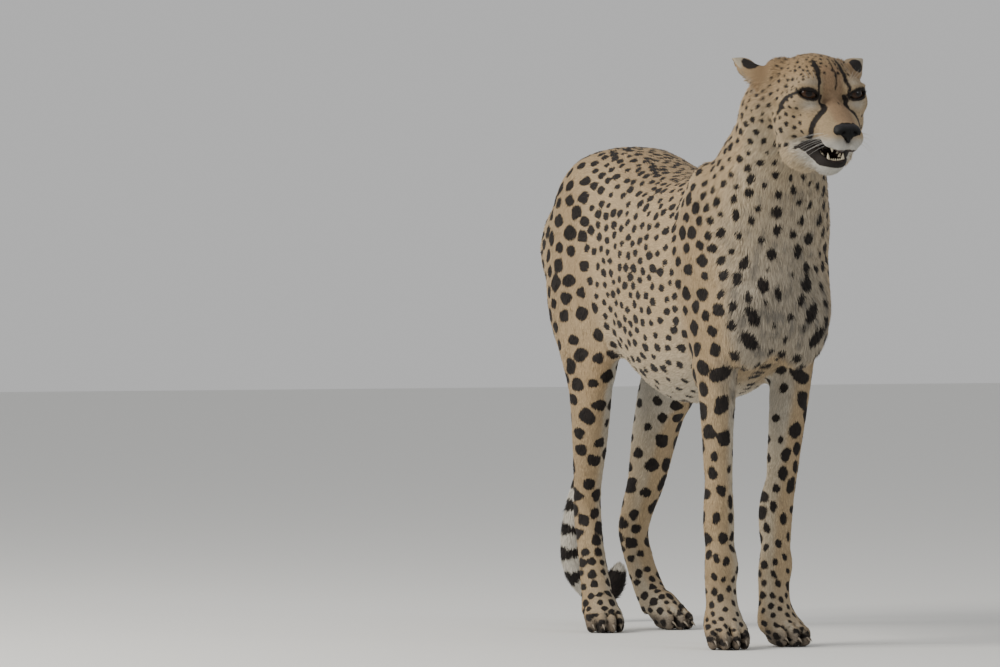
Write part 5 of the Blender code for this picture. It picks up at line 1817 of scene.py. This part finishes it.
class CHEETAH_OT_skin(bpy.types.Operator):
    """Make the one skin that all the flesh nodes share"""

    bl_idname = "cheetah.skin"
    bl_label = "Skin"

    def execute(self, context):
        skin = body_and_head_skin(context.scene.cheetah_body)
        points, normals, triangles = mesh_arrays(skin)
        shares, places, way, length, lift = lie_of_coat(points, normals)
        made["tree"] = tree_of(points)
        tone, mark = markings(points, normals, shares, places, way)
        bare, inner = bare_places(points, normals)
        made.update(
            points=points, normals=normals, triangles=triangles, shares=shares, way=way, length=length,
            lift=lift, tone=tone, mark=mark, bare=bare,
        )
        thin_out(skin, SKIN_TRIANGLES, made["tree"], {"tone": tone, "mark": mark, "inner": inner})
        skin.data.transform(Matrix.Translation(SHIFT))
        skin.data.materials.clear()
        flesh = [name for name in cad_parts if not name.startswith(("eye", "nose"))]
        finish_piece(skin, skin_material(context.scene.cheetah_colours), "tan_coat", *flesh)
        return {"FINISHED"}


class CHEETAH_OT_coat(bpy.types.Operator):
    """Cover the skin with tufts of hair, one piece for each part of the body"""

    bl_idname = "cheetah.coat"
    bl_label = "Coat"

    def execute(self, context):
        density = context.scene.cheetah_coat.density
        material = coat_material(context.scene.cheetah_colours)
        for seed, row in enumerate(COATS):
            finish_piece(coat_piece(row, density, seed), material, row[1])
        return {"FINISHED"}


class CHEETAH_OT_eyes(bpy.types.Operator):
    """Make the eyes: ball, cornea, iris and pupil"""

    bl_idname = "cheetah.eyes"
    bl_label = "Eyes"

    def execute(self, context):
        material = eye_material(context.scene.cheetah_colours)
        for side in (LEFT, RIGHT):
            finish_piece(eye_ball(side), material, "amber_eye", "eye_" + SIDE_NAMES[side])
        return {"FINISHED"}


class CHEETAH_OT_nose(bpy.types.Operator):
    """Make the nose's leather with its nostrils"""

    bl_idname = "cheetah.nose"
    bl_label = "Nose"

    def execute(self, context):
        leather = leather_material(context.scene.cheetah_colours)
        finish_piece(nose_leather(), leather, "nose_leather", "nose")
        return {"FINISHED"}


class CHEETAH_OT_teeth(bpy.types.Operator):
    """Make the teeth that the mouth shows"""

    bl_idname = "cheetah.teeth"
    bl_label = "Teeth"

    def execute(self, context):
        enamel = horn_material("tooth_enamel", context.scene.cheetah_colours.teeth, 0.18)
        finish_piece(spikes("teeth", tooth_rows(), 14, 10), enamel, "pale_coat")
        return {"FINISHED"}


class CHEETAH_OT_claws(bpy.types.Operator):
    """Make the blunt claws at the ends of the toes"""

    bl_idname = "cheetah.claws"
    bl_label = "Claws"

    def execute(self, context):
        horn = horn_material("claw_horn", context.scene.cheetah_colours.claws, 0.38)
        finish_piece(spikes("claws", claw_rows(), 12, 9), horn, "nose_leather")
        return {"FINISHED"}


class CHEETAH_OT_whiskers(bpy.types.Operator):
    """Make the whiskers of the lip and the brow"""

    bl_idname = "cheetah.whiskers"
    bl_label = "Whiskers"

    def execute(self, context):
        hair = horn_material("whisker_hair", context.scene.cheetah_colours.whiskers, 0.35)
        finish_piece(spikes("whiskers", whisker_rows(), 4, 9), hair, "pale_coat")
        return {"FINISHED"}


LENS_SHARE = 9.333  # the lens's length over the picture's width
AIM_LEFT, AIM_UP = 0.2955, 0.457  # from the animal's foot point to the picture's middle


class CHEETAH_OT_stage(bpy.types.Operator):
    """Set the floor, the lights and the camera"""

    bl_idname = "cheetah.stage"
    bl_label = "Stage"

    def execute(self, context):
        settings = context.scene.cheetah_stage
        azimuth, elevation = math.radians(settings.azimuth), math.radians(settings.elevation)
        level = math.cos(elevation)
        back = Vector((math.sin(azimuth) * level, -math.cos(azimuth) * level, math.sin(elevation)))
        right = Vector((math.cos(azimuth), math.sin(azimuth), 0))
        up = back.cross(right)
        data = bpy.data.cameras.new("camera")
        data.sensor_width = 36
        data.lens = LENS_SHARE * data.sensor_width
        data.clip_end = 60
        camera = placed("camera", data)
        stand = Vector(SHIFT)
        camera.location = stand + back * settings.distance
        aim = stand - right * AIM_LEFT + up * AIM_UP
        camera.rotation_euler = (camera.location - aim).to_track_quat("Z", "Y").to_euler()
        context.scene.camera = camera
        self.floor(context.scene.cheetah_colours.floor)
        self.lights()
        return {"FINISHED"}

    def floor(self, colour):
        """A wide pale sheet at the soles."""
        mesh = bpy.data.meshes.new("floor")
        mesh.from_pydata([(-12, -16, 0), (12, -16, 0), (12, 14, 0), (-12, 14, 0)], [], [(0, 1, 2, 3)])
        pale, _, _ = new_material("floor_pale", {"Base Color": (*colour, 1), "Roughness": 0.9})
        mesh.materials.append(pale)
        placed("floor", mesh)

    def lights(self):
        """A large warm lamp from the right, a small cool one from the left and front, and a grey sky."""
        def area(name, place, aim, size, power, colour):
            data = bpy.data.lights.new(name, "AREA")
            data.size, data.energy, data.color = size, power, colour
            lamp = placed(name, data)
            lamp.location = place
            lamp.rotation_euler = (Vector(place) - Vector(aim)).to_track_quat("Z", "Y").to_euler()

        area("key_light", (-3.6, -0.4, 2.7), (0, 0, 0.4), 2.4, 190, (1.0, 0.96, 0.89))
        area("fill_light", (2.8, -3.4, 1.8), (0, 0, 0.4), 1.2, 22, (0.95, 0.98, 1.0))
        world = bpy.data.worlds.new("studio")
        bpy.context.scene.world = world
        world.use_nodes = True
        sky = world.node_tree.nodes["Background"]
        sky.inputs["Color"].default_value = (0.88, 0.88, 0.88, 1)
        sky.inputs["Strength"].default_value = 0.62


class CHEETAH_PT_panel(bpy.types.Panel):
    """Shows the settings and a button for each operator"""

    bl_label = "Cheetah"
    bl_idname = "CHEETAH_PT_panel"
    bl_space_type = "VIEW_3D"
    bl_region_type = "UI"
    bl_category = "Cheetah"

    def draw(self, context):
        layout = self.layout
        for group in (getattr(context.scene, name) for name in GROUPS):
            for name in group.bl_rna.properties.keys():
                if name not in ("rna_type", "name"):
                    layout.prop(group, name)
        for operator in OPERATORS:
            layout.operator(operator.bl_idname)


GROUPS = {
    "cheetah_body": CheetahBody,
    "cheetah_coat": CheetahCoat,
    "cheetah_colours": CheetahColours,
    "cheetah_stage": CheetahStage,
}
OPERATORS = (
    CHEETAH_OT_skin, CHEETAH_OT_coat, CHEETAH_OT_eyes, CHEETAH_OT_nose,
    CHEETAH_OT_teeth, CHEETAH_OT_claws, CHEETAH_OT_whiskers, CHEETAH_OT_stage,
)
CLASSES = (*GROUPS.values(), *OPERATORS, CHEETAH_PT_panel)


def register():
    """Registers the classes and hangs the groups of properties on the scene."""
    for cls in CLASSES:
        bpy.utils.register_class(cls)
    for name, group in GROUPS.items():
        setattr(bpy.types.Scene, name, bpy.props.PointerProperty(type=group))


def unregister():
    """Undoes what register did, in reverse."""
    for name in GROUPS:
        delattr(bpy.types.Scene, name)
    for cls in reversed(CLASSES):
        bpy.utils.unregister_class(cls)


def main():
    """Makes every piece and the stage."""
    register()
    for operator in OPERATORS:
        getattr(bpy.ops.cheetah, operator.bl_idname.split(".")[1])()
    bpy.context.view_layer.update()


if __name__ == "__main__":
    main()
